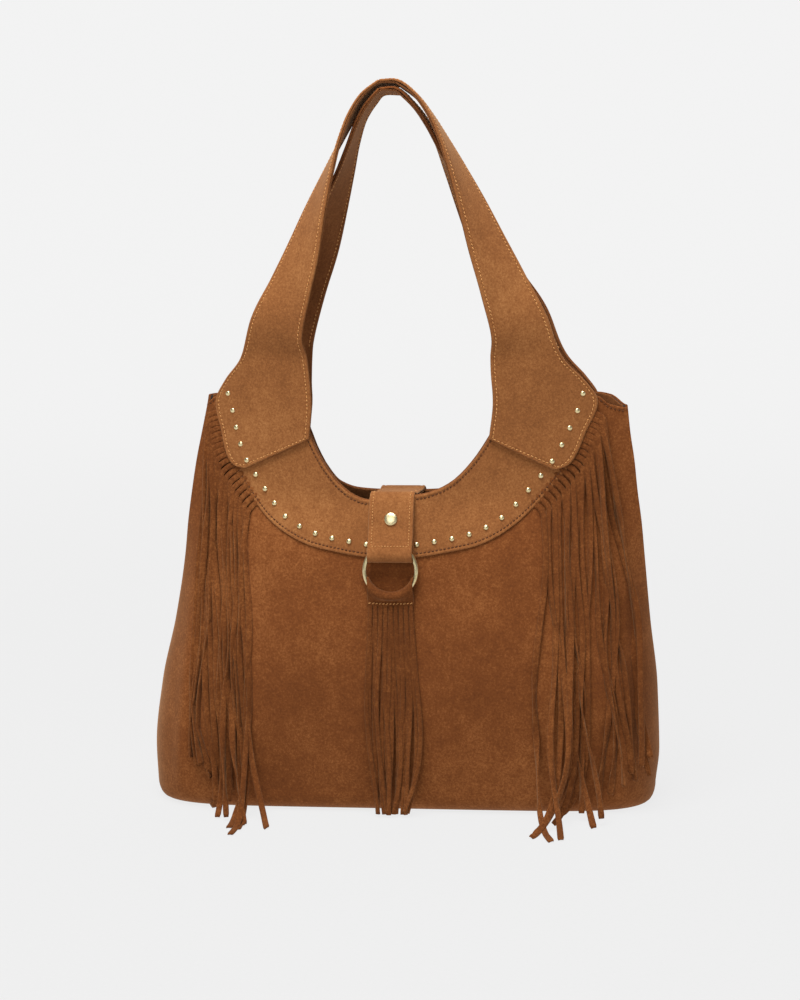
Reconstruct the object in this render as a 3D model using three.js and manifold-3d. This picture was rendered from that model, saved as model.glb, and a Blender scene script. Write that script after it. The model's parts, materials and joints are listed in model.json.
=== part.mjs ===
// Soft suede tote bag with studded yokes, side fringes and a ring-and-tassel closing tab.
// Millimetres, +Z up, the front faces -Y. The origin is the centre of the flat base underside.
import * as THREE from 'three';
import { mergeVertices } from 'three/addons/utils/BufferGeometryUtils.js';
import Module from 'manifold-3d';

const wasm = await Module();
wasm.setup();

// ---- Driving dimensions -------------------------------------------------------------------

const GAP = 0.3; // air between two pieces that touch
const PLY = 1.4; // strap and yoke suede
const PANEL = 1.6; // body suede
const LINING = 0.7;
const FACING = 0.9;

// Bag body: [height, left half-width, right half-width, half-depth] of the outer face.
const BODY_ROWS = [
  [14, 189, 190, 53],
  [40, 191, 194, 56],
  [90, 186, 194, 57.5],
  [140, 176, 191, 54.5],
  [190, 167, 187, 46],
  [215, 164, 185, 38],
  [240, 160, 182, 30],
  [262, 156, 180, 28.5],
  [284, 153, 177, 27],
  [306, 150, 174, 26],
  [330, 147, 172, 25],
];
const BASE_ROLL = 14; // radius of the turned-under bottom edge
const BASE_ROLL_STEPS = 3;
const BODY_COLUMNS = 16;
const YOKE_LOWEST_ROW = 190; // the row below the yoke's lowest point
const TOP_OF_BODY = 306; // height of the side-seam corner
const SECTION_POWER = { base: 8, top: 2 };
const SECTION_ROOT = { base: 0.45, top: 1 };

// Stack of layers on the outer face, as distances from it.
const HEADER = { from: GAP, to: 0.9 }; // skived fringe header
const YOKE = { from: GAP, to: 1.8 };
const BACKING_PLY = { from: YOKE.to + GAP, to: YOKE.to + GAP + PLY };
const OUTER_PLY = { from: BACKING_PLY.to + GAP, to: BACKING_PLY.to + GAP + PLY };
const LINING_OUT = -PANEL - GAP;
const FACING_OUT = LINING_OUT - LINING - GAP;
const FACING_DEPTH = 28; // how far the facing reaches down inside the mouth
const BOARD = { from: PANEL + GAP, to: PANEL + GAP + 2, inset: 6 };
const LINING_FLOOR = BOARD.to + GAP;

// Front outline of the mouth, centre to side seam, as [x, z]. The rear one hangs lower.
const MOUTH = [
  [0, 240],
  [18, 240.8],
  [32, 244.5],
  [43, 250.5],
  [51, 258],
  [61, 271],
  [68.5, 284],
  [76, 297],
  [92, 304],
  [120, 308],
  [147, 312],
  [160, 307.5],
  [230, 305],
];
const REAR_MOUTH_DROP = 4;

// Lower edge of the yoke, centre to top corner, as [x, z].
const YOKE_EDGE = [
  [0, 195.5],
  [19, 196.3],
  [43, 200],
  [66, 205.3],
  [83, 213.2],
  [96.5, 222.8],
  [110, 236.8],
  [121.5, 251],
  [131, 264],
  [138.5, 284],
  [145.5, 311.5],
  [147, 330],
];

// Handles: [inner x, inner z, outer x, outer z] of each row from the stitched end upwards.
const HANDLE_END_ROWS = [
  [68.3, 283, 117, 259],
  [68.4, 286, 127.5, 261.5],
  [68.5, 291, 133.5, 270],
  [68.7, 301, 138.5, 285],
  [69, 318, 145, 311],
  [69, 329, 138, 325],
  [69, 343, 126, 341],
];
const HANDLE_COLUMNS = 4;
// Free part: [height, centre x of front, centre x of rear, distance from mid-plane, width, turn].
const HANDLE_LOOP_ROWS = [
  [366, 92, 89, 22, 46, 14],
  [396, 81, 76, 20.5, 39, 24],
  [426, 70, 62.5, 18, 34, 38],
  [456, 61, 51, 14.5, 31, 53],
  [484, 51.5, 41, 10.5, 29, 67],
  [506, 43, 32.5, 7, 28, 77],
  [524, 33, 24, 4, 27.5, 84],
  [537, 20, 14.5, 1.5, 27, 88],
];
const HANDLE_TOP = { front: 546.5, rear: 540.5, width: 27 };
const REAR_LOOP_DROP = 6;
const LAP = 6; // the outer and backing plies are joined this far to either side of the top

// Studs: one row of domes a side, from the handle end to the closing tab.
const STUD_LINE = [
  [135, 315],
  [127.7, 291.6],
  [117.5, 267.4],
  [100, 243.5],
  [82.5, 224.4],
  [58.5, 212.7],
  [32, 207.3],
  [19, 205.4],
];
const STUDS_A_SIDE = 14;
const STUDS_ON_HANDLE = 5;
const STUD = { radius: 2.05, height: 1.5, postRadius: 0.6, postLength: 0.6, holeRadius: 0.85 };
const STUD_FACETS = 8;
const STUD_HOLE_FACETS = 6;

// Fringe: a header under each outer yoke edge and its cut strands.
const FRINGE = {
  strands: 15,
  width: 4.6,
  thickness: 1.1,
  length: 286,
  headerWidth: 14,
  rootTop: 308,
  rootBottom: 236,
};
const FRINGE_SIDES = {
  left: { sign: -1, firstLane: 167, lastLane: 110, turn: 58 },
  right: { sign: 1, firstLane: 191, lastLane: 106, turn: 40 },
};
const FRINGE_HEIGHTS = [240, 190, 140, 90, 40]; // where a strand's clearance is set
const STRAND_PATH = {
  rootIn: 0.8, // start of the free strand past the yoke edge
  straight: 4, // first stretch square to the edge
  leastDrop: 12, // height lost in the bend over the side
  dropShare: 0.8, // the same as a share of its reach
  clearance: 0.8, // air beside a strand turned edge-on
  leastStep: 15, // shortest stretch between two heights
};
const REBATE = { inner: 2.5, outer: 6, ends: 5 }; // how much wider the yoke's rebate is than the header
const FLOOR_BEND = 9; // radius at which a long strand turns onto the floor
const FLOOR_CLEAR = 2.6; // height of a lying strand's middle

// Closing tab, a strap folded round the ring and sewn to the rear yoke.
const TAB = { width: 33.2, rearEnd: 206, foldBottom: 192.9, cavity: 9, standOff: 0.4 };
const SNAP = {
  height: 222.5,
  lift: 3.6, // underside of the tab above the yoke
  capRadius: 5,
  capRise: 1.7,
  postRadius: 1.4,
  postEnd: 0.9, // how far the cap's post reaches below the tab
  holeRadius: 1.75,
  socket: { outer: 4.4, inner: 2.9, throat: 1.7, floor: 1.6 },
  stud: { flange: 4.2, flangeTop: 1.3, head: 2.6, headTop: 2.5, post: 1.2, foot: 6.6 },
  washer: { outer: 4.2, inner: 1.5, from: 6, to: 6.8 },
};
const SNAP_BORE = { radius: 1.6, depth: 9, over: 2 }; // hole through yoke, panel, lining and facing
const SNAP_FACETS = 20;

const RING = { radius: 19.6, wire: 1.6, centre: 187.3, lean: 8 };
const RING_STEPS = { around: 32, section: 8 };
const TASSEL = {
  width: 34,
  headBottom: 156,
  thickness: 1.2,
  cavity: 3.4,
  strands: 9,
  strandWidth: 3.4,
  tip: 4,
};

const COLOURS = {
  suede: 0x8f5b2e,
  suedeLight: 0x9c6734,
  suedeRear: 0x85532a,
  edge: 0x7a4b25,
  lining: 0x33241b,
  board: 0x5b4a38,
  brass: 0xc9a668,
};

// ---- Numbers and tables -------------------------------------------------------------------

/** Linear look-up of column `column` in a table whose first column rises. */
function lookUp(table, at, column) {
  const last = table.length - 1;
  if (at <= table[0][0]) {
    return table[0][column];
  }
  if (at >= table[last][0]) {
    return table[last][column];
  }
  const next = table.findIndex((row) => row[0] > at);
  const low = table[next - 1];
  const high = table[next];
  const share = (at - low[0]) / (high[0] - low[0]);
  return THREE.MathUtils.lerp(low[column], high[column], share);
}

/** Mirrors a half outline [x, z] about x = 0 and returns it from left to right. */
function mirrored(half, sink = 0) {
  const right = half.map(([x, z]) => [x, z - sink]);
  const left = right.slice(1).map(([x, z]) => [-x, z]);
  return left.reverse().concat(right);
}

const radians = THREE.MathUtils.degToRad;

// ---- Bag surface --------------------------------------------------------------------------

/** Share of the half-depth that the section has at `u`, -1 to 1 across the front. */
function sectionShare(u, height) {
  const rise = THREE.MathUtils.clamp(height / TOP_OF_BODY, 0, 1);
  const power = THREE.MathUtils.lerp(SECTION_POWER.top, SECTION_POWER.base, (1 - rise) ** 2);
  const root = THREE.MathUtils.lerp(SECTION_ROOT.base, SECTION_ROOT.top, rise);
  return Math.max(0, 1 - Math.abs(u) ** power) ** root;
}

/** Half-width on the side of `u` at a height, before any lift. */
function halfWidth(u, height) {
  return lookUp(BODY_ROWS, height, u < 0 ? 1 : 2);
}

/** Half-depth at `u` and a height, straight between the table's rows, for a lifted layer. */
function halfDepth(u, height, lift) {
  const rows = BODY_ROWS.map((row) => [row[0], (row[3] + lift) * sectionShare(u, row[0])]);
  return lookUp(rows, height, 1);
}

/** A point of the front face, `lift` outside it. */
function bodyPoint(u, height, lift) {
  const x = (halfWidth(u, height) + lift) * u;
  return new THREE.Vector3(x, -GAP / 2 - halfDepth(u, height, lift), height);
}

/** The same, by x instead of by share across. */
function facePoint(x, height, lift) {
  const u = THREE.MathUtils.clamp(x / (halfWidth(x, height) + lift), -1, 1);
  const point = bodyPoint(u, height, lift);
  point.x = x;
  return point;
}

/** Outward direction of the front face at x and a height. */
function faceNormal(x, height, lift) {
  const step = 4;
  const across = facePoint(x + step, height, lift).sub(facePoint(x - step, height, lift));
  const up = facePoint(x, height + step, lift).sub(facePoint(x, height - step, lift));
  return across.cross(up).normalize();
}

/** A point of the rolled bottom edge, `angle` degrees round from upright to flat. */
function rollPoint(u, angle, lift) {
  const reach = BASE_ROLL + lift;
  const inset = reach * Math.cos(radians(angle)) - BASE_ROLL;
  const height = BASE_ROLL - reach * Math.sin(radians(angle));
  const wide = halfWidth(u, BASE_ROLL) + inset;
  const deep = (BODY_ROWS[0][3] + inset) * sectionShare(u, BASE_ROLL);
  return new THREE.Vector3(wide * u, -GAP / 2 - deep, height);
}

/** Column positions across the front, closer together towards the side seams. */
function columnShares() {
  const shares = [];
  for (let column = 0; column <= BODY_COLUMNS; column += 1) {
    shares.push(Math.sin(((column / BODY_COLUMNS) * 2 - 1) * (Math.PI / 2)));
  }
  return shares;
}

/** Rows of points of the front face at a lift, from the base roll or from `lowest` upwards. */
function faceGrid(lift, lowest) {
  const shares = columnShares();
  const rows = [];
  if (lowest === undefined) {
    for (let step = BASE_ROLL_STEPS; step > 0; step -= 1) {
      rows.push(shares.map((u) => rollPoint(u, (90 * step) / BASE_ROLL_STEPS, lift)));
    }
  }
  for (const [height] of BODY_ROWS) {
    if (lowest === undefined || height >= lowest) {
      rows.push(shares.map((u) => bodyPoint(u, height, lift)));
    }
  }
  return rows;
}

// ---- Solids -------------------------------------------------------------------------------

/** Turns a closed geometry into a solid. */
function toSolid(geometry) {
  const bare = geometry.clone();
  bare.deleteAttribute('normal');
  bare.deleteAttribute('uv');
  const merged = mergeVertices(bare, 1e-4);
  const vertProperties = new Float32Array(merged.attributes.position.array);
  const triVerts = new Uint32Array(merged.index.array);
  return new wasm.Manifold(new wasm.Mesh({ numProp: 3, vertProperties, triVerts }));
}

/** Turns a solid back into a geometry with its own flat normals. */
function toGeometry(solid) {
  const mesh = solid.getMesh();
  const geometry = new THREE.BufferGeometry();
  const positions = new Float32Array(mesh.vertProperties);
  geometry.setAttribute('position', new THREE.BufferAttribute(positions, 3));
  geometry.setIndex(new THREE.BufferAttribute(new Uint32Array(mesh.triVerts), 1));
  geometry.computeVertexNormals();
  return geometry;
}

/** Signed volume of an indexed triangle list. */
function signedVolume(points, triangles) {
  let six = 0;
  for (let index = 0; index < triangles.length; index += 3) {
    const [a, b, c] = [0, 1, 2].map((corner) => points[triangles[index + corner]]);
    six += a.dot(b.clone().cross(c));
  }
  return six / 6;
}

/** Closed geometry from points and triangles, turned so that it faces outwards. */
function closedGeometry(points, triangles) {
  const index = triangles.slice();
  if (signedVolume(points, index) < 0) {
    index.reverse();
  }
  const geometry = new THREE.BufferGeometry().setFromPoints(points);
  geometry.setIndex(index);
  return geometry;
}

/** Solid sheet between two grids of points with the same rows and columns. */
function sheetSolid(front, back) {
  const rows = front.length;
  const columns = front[0].length;
  const points = front.flat().concat(back.flat());
  const at = (layer, row, column) => layer * rows * columns + row * columns + column;
  const triangles = [];
  const quad = (a, b, c, d) => triangles.push(a, b, c, a, c, d);
  for (let row = 0; row < rows - 1; row += 1) {
    for (let column = 0; column < columns - 1; column += 1) {
      const right = column + 1;
      quad(at(0, row, column), at(0, row, right), at(0, row + 1, right), at(0, row + 1, column));
      quad(at(1, row, column), at(1, row + 1, column), at(1, row + 1, right), at(1, row, right));
    }
  }
  for (let column = 0; column < columns - 1; column += 1) {
    quad(at(1, 0, column), at(1, 0, column + 1), at(0, 0, column + 1), at(0, 0, column));
    const top = rows - 1;
    quad(at(0, top, column), at(0, top, column + 1), at(1, top, column + 1), at(1, top, column));
  }
  for (let row = 0; row < rows - 1; row += 1) {
    quad(at(0, row, 0), at(0, row + 1, 0), at(1, row + 1, 0), at(1, row, 0));
    const side = columns - 1;
    quad(at(1, row, side), at(1, row + 1, side), at(0, row + 1, side), at(0, row, side));
  }
  return toSolid(closedGeometry(points, triangles));
}

/** Solid skinned over closed rings of points, each ring convex, with a flat fan at both ends. */
function loftedSolid(rings) {
  const count = rings[0].length;
  const points = rings.flat();
  const triangles = [];
  for (let ring = 0; ring < rings.length - 1; ring += 1) {
    for (let side = 0; side < count; side += 1) {
      const a = ring * count + side;
      const b = ring * count + ((side + 1) % count);
      triangles.push(a, b, b + count, a, b + count, a + count);
    }
  }
  const last = (rings.length - 1) * count;
  for (let side = 1; side < count - 1; side += 1) {
    triangles.push(0, side + 1, side);
    triangles.push(last, last + side, last + side + 1);
  }
  return toSolid(closedGeometry(points, triangles));
}

/** Upright wall of an outline in x and z, run through the bag from y `near` to y `far`. */
function prism(outline, near, far) {
  const shape = new THREE.Shape(outline.map(([x, z]) => new THREE.Vector2(x, z)));
  const geometry = new THREE.ExtrudeGeometry(shape, { depth: far - near, bevelEnabled: false });
  geometry.rotateX(Math.PI / 2);
  geometry.translate(0, far, 0);
  return toSolid(geometry);
}

/** Turned piece about its own axis, which is then pointed along `axis` from `place`. */
function turned(profile, facets, place, axis) {
  const geometry = new THREE.LatheGeometry(profile.map(([r, h]) => new THREE.Vector2(r, h)), facets);
  const turn = new THREE.Quaternion().setFromUnitVectors(new THREE.Vector3(0, 1, 0), axis);
  geometry.applyQuaternion(turn);
  geometry.translate(place.x, place.y, place.z);
  return toSolid(geometry);
}

/** Plain round pin from `place` along `axis`, used as a hole cutter. */
function pin(radius, from, to, facets, place, axis) {
  return turned([[0, from], [radius, from], [radius, to], [0, to]], facets, place, axis);
}

/** Mirrors a front solid to the rear of the bag. */
function toRear(solid) {
  return solid.mirror([0, 1, 0]);
}

// ---- Bag body -----------------------------------------------------------------------------

const DEEP = 120; // far enough through the bag for every cutter
const WIDE = 240;
const ABOVE = 360;
const BELOW = -5;

/** Everything below the mouth outline, through the whole bag. */
function belowMouth() {
  const under = [[WIDE, BELOW], [-WIDE, BELOW]];
  const front = prism(mirrored(MOUTH).concat(under), -DEEP, 0);
  const rear = prism(mirrored(MOUTH, REAR_MOUTH_DROP).concat(under), 0, DEEP);
  return { front, rear };
}

/** A layer of the front face between two lifts, trimmed to the mouth. */
function layer(from, to, trim, lowest) {
  const solid = sheetSolid(faceGrid(to, lowest), faceGrid(from, lowest));
  return solid.intersect(trim);
}

/** Region above the yoke's lower edge. */
function aboveYokeEdge() {
  const side = YOKE_EDGE.at(-1)[0];
  const outline = mirrored(YOKE_EDGE).concat([[side, ABOVE], [-side, ABOVE]]);
  return prism(outline, -DEEP, DEEP);
}

/** Flat plate of the base outline between two heights. */
function basePlate(inset, from, to) {
  const front = columnShares().map((u) => {
    const flat = rollPoint(u, 90, 0);
    const wide = halfWidth(u, BASE_ROLL) - BASE_ROLL;
    const deep = BODY_ROWS[0][3] - BASE_ROLL;
    return new THREE.Vector2(flat.x * (1 - inset / wide), flat.y * (1 - inset / deep));
  });
  const rear = front.slice(1, -1).map((point) => new THREE.Vector2(point.x, -point.y)).reverse();
  const shape = new THREE.Shape(front.concat(rear));
  const geometry = new THREE.ExtrudeGeometry(shape, { depth: to - from, bevelEnabled: false });
  geometry.translate(0, 0, from);
  return toSolid(geometry);
}

/** Closed block of the bag's inside, `lift` from the outer face and standing on `floor`. */
function innerBlock(lift, floor, crown) {
  const rows = faceGrid(lift, BODY_ROWS[0][0]);
  const drawnIn = { x: 0.94, y: 0.8 }; // the floor is smaller than the section above it
  const bottom = rows[0].map((p) => new THREE.Vector3(p.x * drawnIn.x, p.y * drawnIn.y, floor));
  const top = rows.at(-1).map((p) => new THREE.Vector3(p.x, p.y, p.z + crown));
  const face = [bottom, ...rows, top];
  const middle = face.map((row) => row.map((p) => new THREE.Vector3(p.x, 0, p.z)));
  const half = sheetSolid(face, middle);
  return half.add(toRear(half));
}

/** Lining: an open-topped bag of its own inside the panels. */
function liningSolid(trims) {
  const outer = innerBlock(LINING_OUT, LINING_FLOOR, 1);
  const inner = innerBlock(LINING_OUT - LINING, LINING_FLOOR + LINING, 2);
  return outer.subtract(inner).intersect(trims.front.add(trims.rear));
}

/** Facing: the suede band inside the mouth of the front panel. */
function facingSolid(trim, sink) {
  const band = layer(FACING_OUT - FACING, FACING_OUT, trim, YOKE_LOWEST_ROW);
  const half = MOUTH.map(([x, z]) => [x, z - FACING_DEPTH]);
  const under = mirrored(half, sink).concat([[WIDE, BELOW], [-WIDE, BELOW]]);
  return band.subtract(prism(under, -DEEP, DEEP));
}

// ---- Handles ------------------------------------------------------------------------------

/** One row across the sewn end of a handle, lying on the bag on the side of `sign`. */
function endRow([innerX, innerZ, outerX, outerZ], sign, lift) {
  const points = [];
  for (let column = 0; column <= HANDLE_COLUMNS; column += 1) {
    const share = column / HANDLE_COLUMNS;
    const x = THREE.MathUtils.lerp(innerX, outerX, share);
    const z = THREE.MathUtils.lerp(innerZ, outerZ, share);
    points.push(facePoint(sign * x, z, lift));
  }
  return points;
}

/** One row across the free part of a handle, on the +X side, `lift` from the strap's middle. */
function loopRow(centre, width, turn, slope, lift) {
  const across = new THREE.Vector3(Math.cos(radians(turn)), Math.sin(radians(turn)), 0);
  const along = slope.clone().normalize();
  across.addScaledVector(along, -across.dot(along)).normalize();
  const out = across.clone().cross(along).normalize();
  const points = [];
  for (let column = 0; column <= HANDLE_COLUMNS; column += 1) {
    const offset = (column / HANDLE_COLUMNS - 0.5) * width;
    points.push(centre.clone().addScaledVector(across, offset).addScaledVector(out, lift));
  }
  return points;
}

/** Middle stations of the free part of a handle on the +X side, bottom to top. */
function loopStations(which) {
  const column = which === 'front' ? 1 : 2;
  const low = HANDLE_LOOP_ROWS[0][0];
  const squash = (HANDLE_TOP[which] - low) / (HANDLE_TOP.front - low);
  return HANDLE_LOOP_ROWS.map((row) => ({
    centre: new THREE.Vector3(row[column], -row[3], low + (row[0] - low) * squash),
    width: row[4],
    turn: row[5],
  }));
}

/** Level stations at the top, where a long ply passes the middle and a short one stops. */
function topStations(which, long) {
  const ends = long ? [LAP + GAP, -LAP] : [LAP + GAP];
  return ends.map((x) => ({
    centre: new THREE.Vector3(x, 0, HANDLE_TOP[which]),
    width: HANDLE_TOP.width,
    turn: 90,
    slope: new THREE.Vector3(-1, 0, 0),
  }));
}

/** Grid of one face of a handle half's ply: sewn end, free part and top. */
function handleGrid(which, sign, long, stackLift, freeLift) {
  const ends = HANDLE_END_ROWS.map((row) => endRow(row, sign, stackLift));
  const stations = loopStations(which).concat(topStations(which, long));
  const free = stations.map(({ centre, width, turn, slope }, index) => {
    const before = stations[Math.max(0, index - 1)].centre;
    const after = stations[Math.min(stations.length - 1, index + 1)].centre;
    const row = loopRow(centre, width, turn, slope ?? after.clone().sub(before), freeLift);
    return row.map((point) => new THREE.Vector3(sign * point.x, point.y, point.z));
  });
  return ends.concat(free);
}

/** One ply of a handle half, facing the front; a long ply reaches past the top's middle. */
function handlePly(which, sign, ply, long) {
  const middle = (BACKING_PLY.from + OUTER_PLY.to) / 2;
  const outside = handleGrid(which, sign, long, ply.to, ply.to - middle);
  const inside = handleGrid(which, sign, long, ply.from, ply.from - middle);
  return sheetSolid(outside, inside);
}

// ---- Fringes ------------------------------------------------------------------------------

/** Right-hand yoke edge as [z, x], rising, for looking up x by height. */
const EDGE_BY_HEIGHT = YOKE_EDGE.map(([x, z]) => [z, x]);

/** Point of the outer yoke edge at a height and its outward direction, on the +X side. */
function yokeEdge(height) {
  const step = 6;
  const x = lookUp(EDGE_BY_HEIGHT, height, 1);
  const run = lookUp(EDGE_BY_HEIGHT, height + step, 1) - lookUp(EDGE_BY_HEIGHT, height - step, 1);
  const outward = new THREE.Vector2(2 * step, -run).normalize();
  return { point: new THREE.Vector2(x, height), outward };
}

/** Solid strip of rectangular section along a path, turned about its own length. */
function strandSolid(stations, width, thickness) {
  const rings = stations.map(({ point, turn }, index) => {
    const before = stations[Math.max(0, index - 1)].point;
    const after = stations[Math.min(stations.length - 1, index + 1)].point;
    const along = after.clone().sub(before).normalize();
    const lying = Math.abs(along.y) > 0.8;
    const out = lying ? new THREE.Vector3(0, 0, 1) : new THREE.Vector3(0, -1, 0);
    out.addScaledVector(along, -out.dot(along)).normalize();
    const across = out.clone().cross(along).normalize();
    across.applyAxisAngle(along, radians(turn));
    out.applyAxisAngle(along, radians(turn));
    const corners = [[1, 1], [-1, 1], [-1, -1], [1, -1]];
    return corners.map(([a, b]) =>
      point
        .clone()
        .addScaledVector(across, (a * width) / 2)
        .addScaledVector(out, (b * thickness) / 2),
    );
  });
  return loftedSolid(rings);
}

/** Cuts a list of stations where their path reaches `length`. */
function cutToLength(stations, length) {
  const kept = [stations[0]];
  let run = 0;
  for (let index = 1; index < stations.length; index += 1) {
    const { point, turn } = stations[index];
    const last = kept.at(-1).point;
    const step = point.distanceTo(last);
    if (run + step >= length) {
      kept.push({ point: last.clone().lerp(point, (length - run) / step), turn });
      return kept;
    }
    run += step;
    kept.push({ point, turn });
  }
  return kept;
}

/** Stations of one fringe strand: out from the yoke edge, over the side and down. */
function strandStations({ sign, firstLane, lastLane, turn }, share) {
  const lane = THREE.MathUtils.lerp(firstLane, lastLane, share);
  const { point, outward } = yokeEdge(THREE.MathUtils.lerp(FRINGE.rootTop, FRINGE.rootBottom, share));
  const onFace = (spot, lift) => facePoint(sign * spot.x, spot.y, lift);
  const flatLift = HEADER.to + FRINGE.thickness / 2;
  const hangLift = GAP + FRINGE.width / 2 + STRAND_PATH.clearance;
  const start = point.clone().addScaledVector(outward, STRAND_PATH.rootIn);
  const leave = point.clone().addScaledVector(outward, STRAND_PATH.straight);
  const reach = Math.max(STRAND_PATH.straight, (lane - leave.x) / outward.x);
  const bend = leave.clone().addScaledVector(outward, reach);
  const drop = Math.max(STRAND_PATH.leastDrop, reach * STRAND_PATH.dropShare);
  const hang = new THREE.Vector2(lane, bend.y - drop);
  const curve = new THREE.QuadraticBezierCurve(leave, bend, hang);
  const stations = [{ point: onFace(start, flatLift), turn: 0 }];
  let outmost = 0;
  const stand = (spot, lift) => {
    const inner = Math.max(0, spot.x - FRINGE.width / 2);
    outmost = Math.max(outmost, -facePoint(sign * inner, spot.y, lift).y);
    return new THREE.Vector3(sign * spot.x, -outmost, spot.y);
  };
  const steps = 3;
  for (let step = 0; step <= steps; step += 1) {
    const along = step / steps;
    const lift = THREE.MathUtils.lerp(flatLift, hangLift, along);
    stations.push({ point: stand(curve.getPoint(along), lift), turn: sign * turn * along });
  }
  const low = FLOOR_BEND + FLOOR_CLEAR;
  for (const height of FRINGE_HEIGHTS) {
    if (height < hang.y - STRAND_PATH.leastStep) {
      const spot = new THREE.Vector2(lane, height);
      stations.push({ point: stand(spot, hangLift), turn: sign * turn });
    }
  }
  const foot = stand(new THREE.Vector2(lane, low), hangLift);
  for (const angle of [0, 45, 90]) {
    const drop = FLOOR_BEND * Math.sin(radians(angle));
    const forward = FLOOR_BEND * (1 - Math.cos(radians(angle)));
    const bent = new THREE.Vector3(foot.x, foot.y - forward, foot.z - drop);
    stations.push({ point: bent, turn: sign * turn });
  }
  const tip = stations.at(-1).point.clone();
  tip.y -= FRINGE.length;
  stations.push({ point: tip, turn: sign * turn });
  return cutToLength(stations, FRINGE.length);
}

/** Strip outline along the outer yoke edge, from `inside` it to `outside` it. */
function headerOutline(sign, inside, outside, beyond) {
  const near = [];
  const far = [];
  const steps = 8;
  for (let step = 0; step <= steps; step += 1) {
    const top = FRINGE.rootTop + 2 + beyond;
    const bottom = FRINGE.rootBottom - 2 - beyond;
    const height = THREE.MathUtils.lerp(top, bottom, step / steps);
    const { point, outward } = yokeEdge(height);
    const inner = point.clone().addScaledVector(outward, -inside);
    const outer = point.clone().addScaledVector(outward, outside);
    near.push([sign * inner.x, inner.y]);
    far.push([sign * outer.x, outer.y]);
  }
  return near.concat(far.reverse());
}

/** A prism of the header strip. */
function headerPrism(sign, inside, outside, beyond) {
  const outline = headerOutline(sign, inside, outside, beyond);
  return prism(sign > 0 ? outline.reverse() : outline, -DEEP, 0);
}

/** One fringe: header and strands, cut from one piece. */
function fringeSolid(side, trim) {
  let fringe = layer(HEADER.from, HEADER.to + 0.1, trim, YOKE_LOWEST_ROW);
  fringe = fringe.intersect(headerPrism(side.sign, FRINGE.headerWidth, 1.8, 0));
  for (let strand = 0; strand < FRINGE.strands; strand += 1) {
    const stations = strandStations(side, strand / (FRINGE.strands - 1));
    fringe = fringe.add(strandSolid(stations, FRINGE.width, FRINGE.thickness));
  }
  // The roots are eased where they would cross the panel under them.
  const bed = layer(-PANEL, GAP / 2, trim, YOKE_LOWEST_ROW);
  return drillForStuds(fringe.subtract(bed), false, [side.sign]);
}

// ---- Closing tab, ring and tassel ---------------------------------------------------------

/** Shifts a 2-D polyline sideways, to its left, keeping the distance round its corners. */
function offsetLine(points, distance) {
  return points.map((point, index) => {
    const before = points[Math.max(0, index - 1)];
    const after = points[Math.min(points.length - 1, index + 1)];
    const into = (index > 0 ? point.clone().sub(before) : after.clone().sub(point)).normalize();
    const away = (point === after ? into : after.clone().sub(point)).clone().normalize();
    const normal = new THREE.Vector2(-(into.y + away.y), into.x + away.x).normalize();
    const stretch = 1 / Math.max(0.5, normal.dot(new THREE.Vector2(-into.y, into.x)));
    return point.clone().addScaledVector(normal, distance * stretch);
  });
}

/** Outer face of the yoke in the middle plane, as [y, z] with an outward offset. */
function yokeFace(height, offset, sign = -1) {
  return new THREE.Vector2(sign * (lookUp(BODY_ROWS, height, 3) + GAP / 2 + YOKE.to + offset), height);
}

/** Middle of the space that the tab's fold leaves for the ring, out from the yoke. */
const RING_OFFSET = TAB.standOff + PLY + TAB.cavity / 2;

/** Hinge line of the ring in the tab's fold, as [y, z]. */
function ringHinge() {
  const half = TAB.width / 2;
  const height = RING.centre + (RING.radius + Math.sqrt(RING.radius ** 2 - half ** 2)) / 2;
  return yokeFace(height, RING_OFFSET);
}

/** Middle line of the tab's strap, from the rear end over the mouth and back, in y and z. */
function tabLine() {
  const mid = PLY / 2;
  const rearTop = MOUTH[0][1] - REAR_MOUTH_DROP;
  const frontTop = MOUTH[0][1];
  const bed = [
    yokeFace(TAB.rearEnd, GAP + mid, 1),
    yokeFace(rearTop - 8, GAP + mid, 1),
    yokeFace(rearTop - 1, 1 + mid, 1),
    yokeFace(rearTop + 1.6 + mid, -0.2, 1),
    yokeFace(frontTop + 2 + mid, -0.2),
    yokeFace(frontTop - 1, 1 + mid),
    yokeFace(SNAP.height + 6.5, SNAP.lift + mid),
    yokeFace(SNAP.height - 6, SNAP.lift + mid),
  ];
  const cover = offsetLine(bed, -PLY - GAP);
  const centre = TAB.foldBottom + RING_OFFSET - TAB.standOff;
  const foot = yokeFace(SNAP.height - 11.5, TAB.standOff + mid);
  const fold = [];
  const radius = (TAB.cavity + PLY) / 2;
  for (let angle = 0; angle <= 180; angle += 30) {
    const shift = radius * Math.cos(radians(angle));
    const middle = yokeFace(centre, RING_OFFSET);
    fold.push(new THREE.Vector2(middle.x + shift, middle.y - radius * Math.sin(radians(angle))));
  }
  const bulge = [
    yokeFace(centre + 6, RING_OFFSET + radius - 0.2),
    yokeFace(SNAP.height - 10.5, RING_OFFSET + radius - 2.2),
  ];
  return bed.concat([foot], fold, bulge, cover.reverse());
}

/** Solid of a strip whose middle line lies in the y-z plane, run along x. */
function ribbonSolid(line, thickness, width) {
  const near = offsetLine(line, thickness / 2);
  const far = offsetLine(line, -thickness / 2).reverse();
  const shape = new THREE.Shape(near.concat(far));
  const geometry = new THREE.ExtrudeGeometry(shape, { depth: width, bevelEnabled: false });
  const turn = new THREE.Matrix4().makeBasis(
    new THREE.Vector3(0, 1, 0),
    new THREE.Vector3(0, 0, 1),
    new THREE.Vector3(1, 0, 0),
  );
  geometry.applyMatrix4(turn);
  geometry.translate(-width / 2, 0, 0);
  return toSolid(geometry);
}

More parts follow.
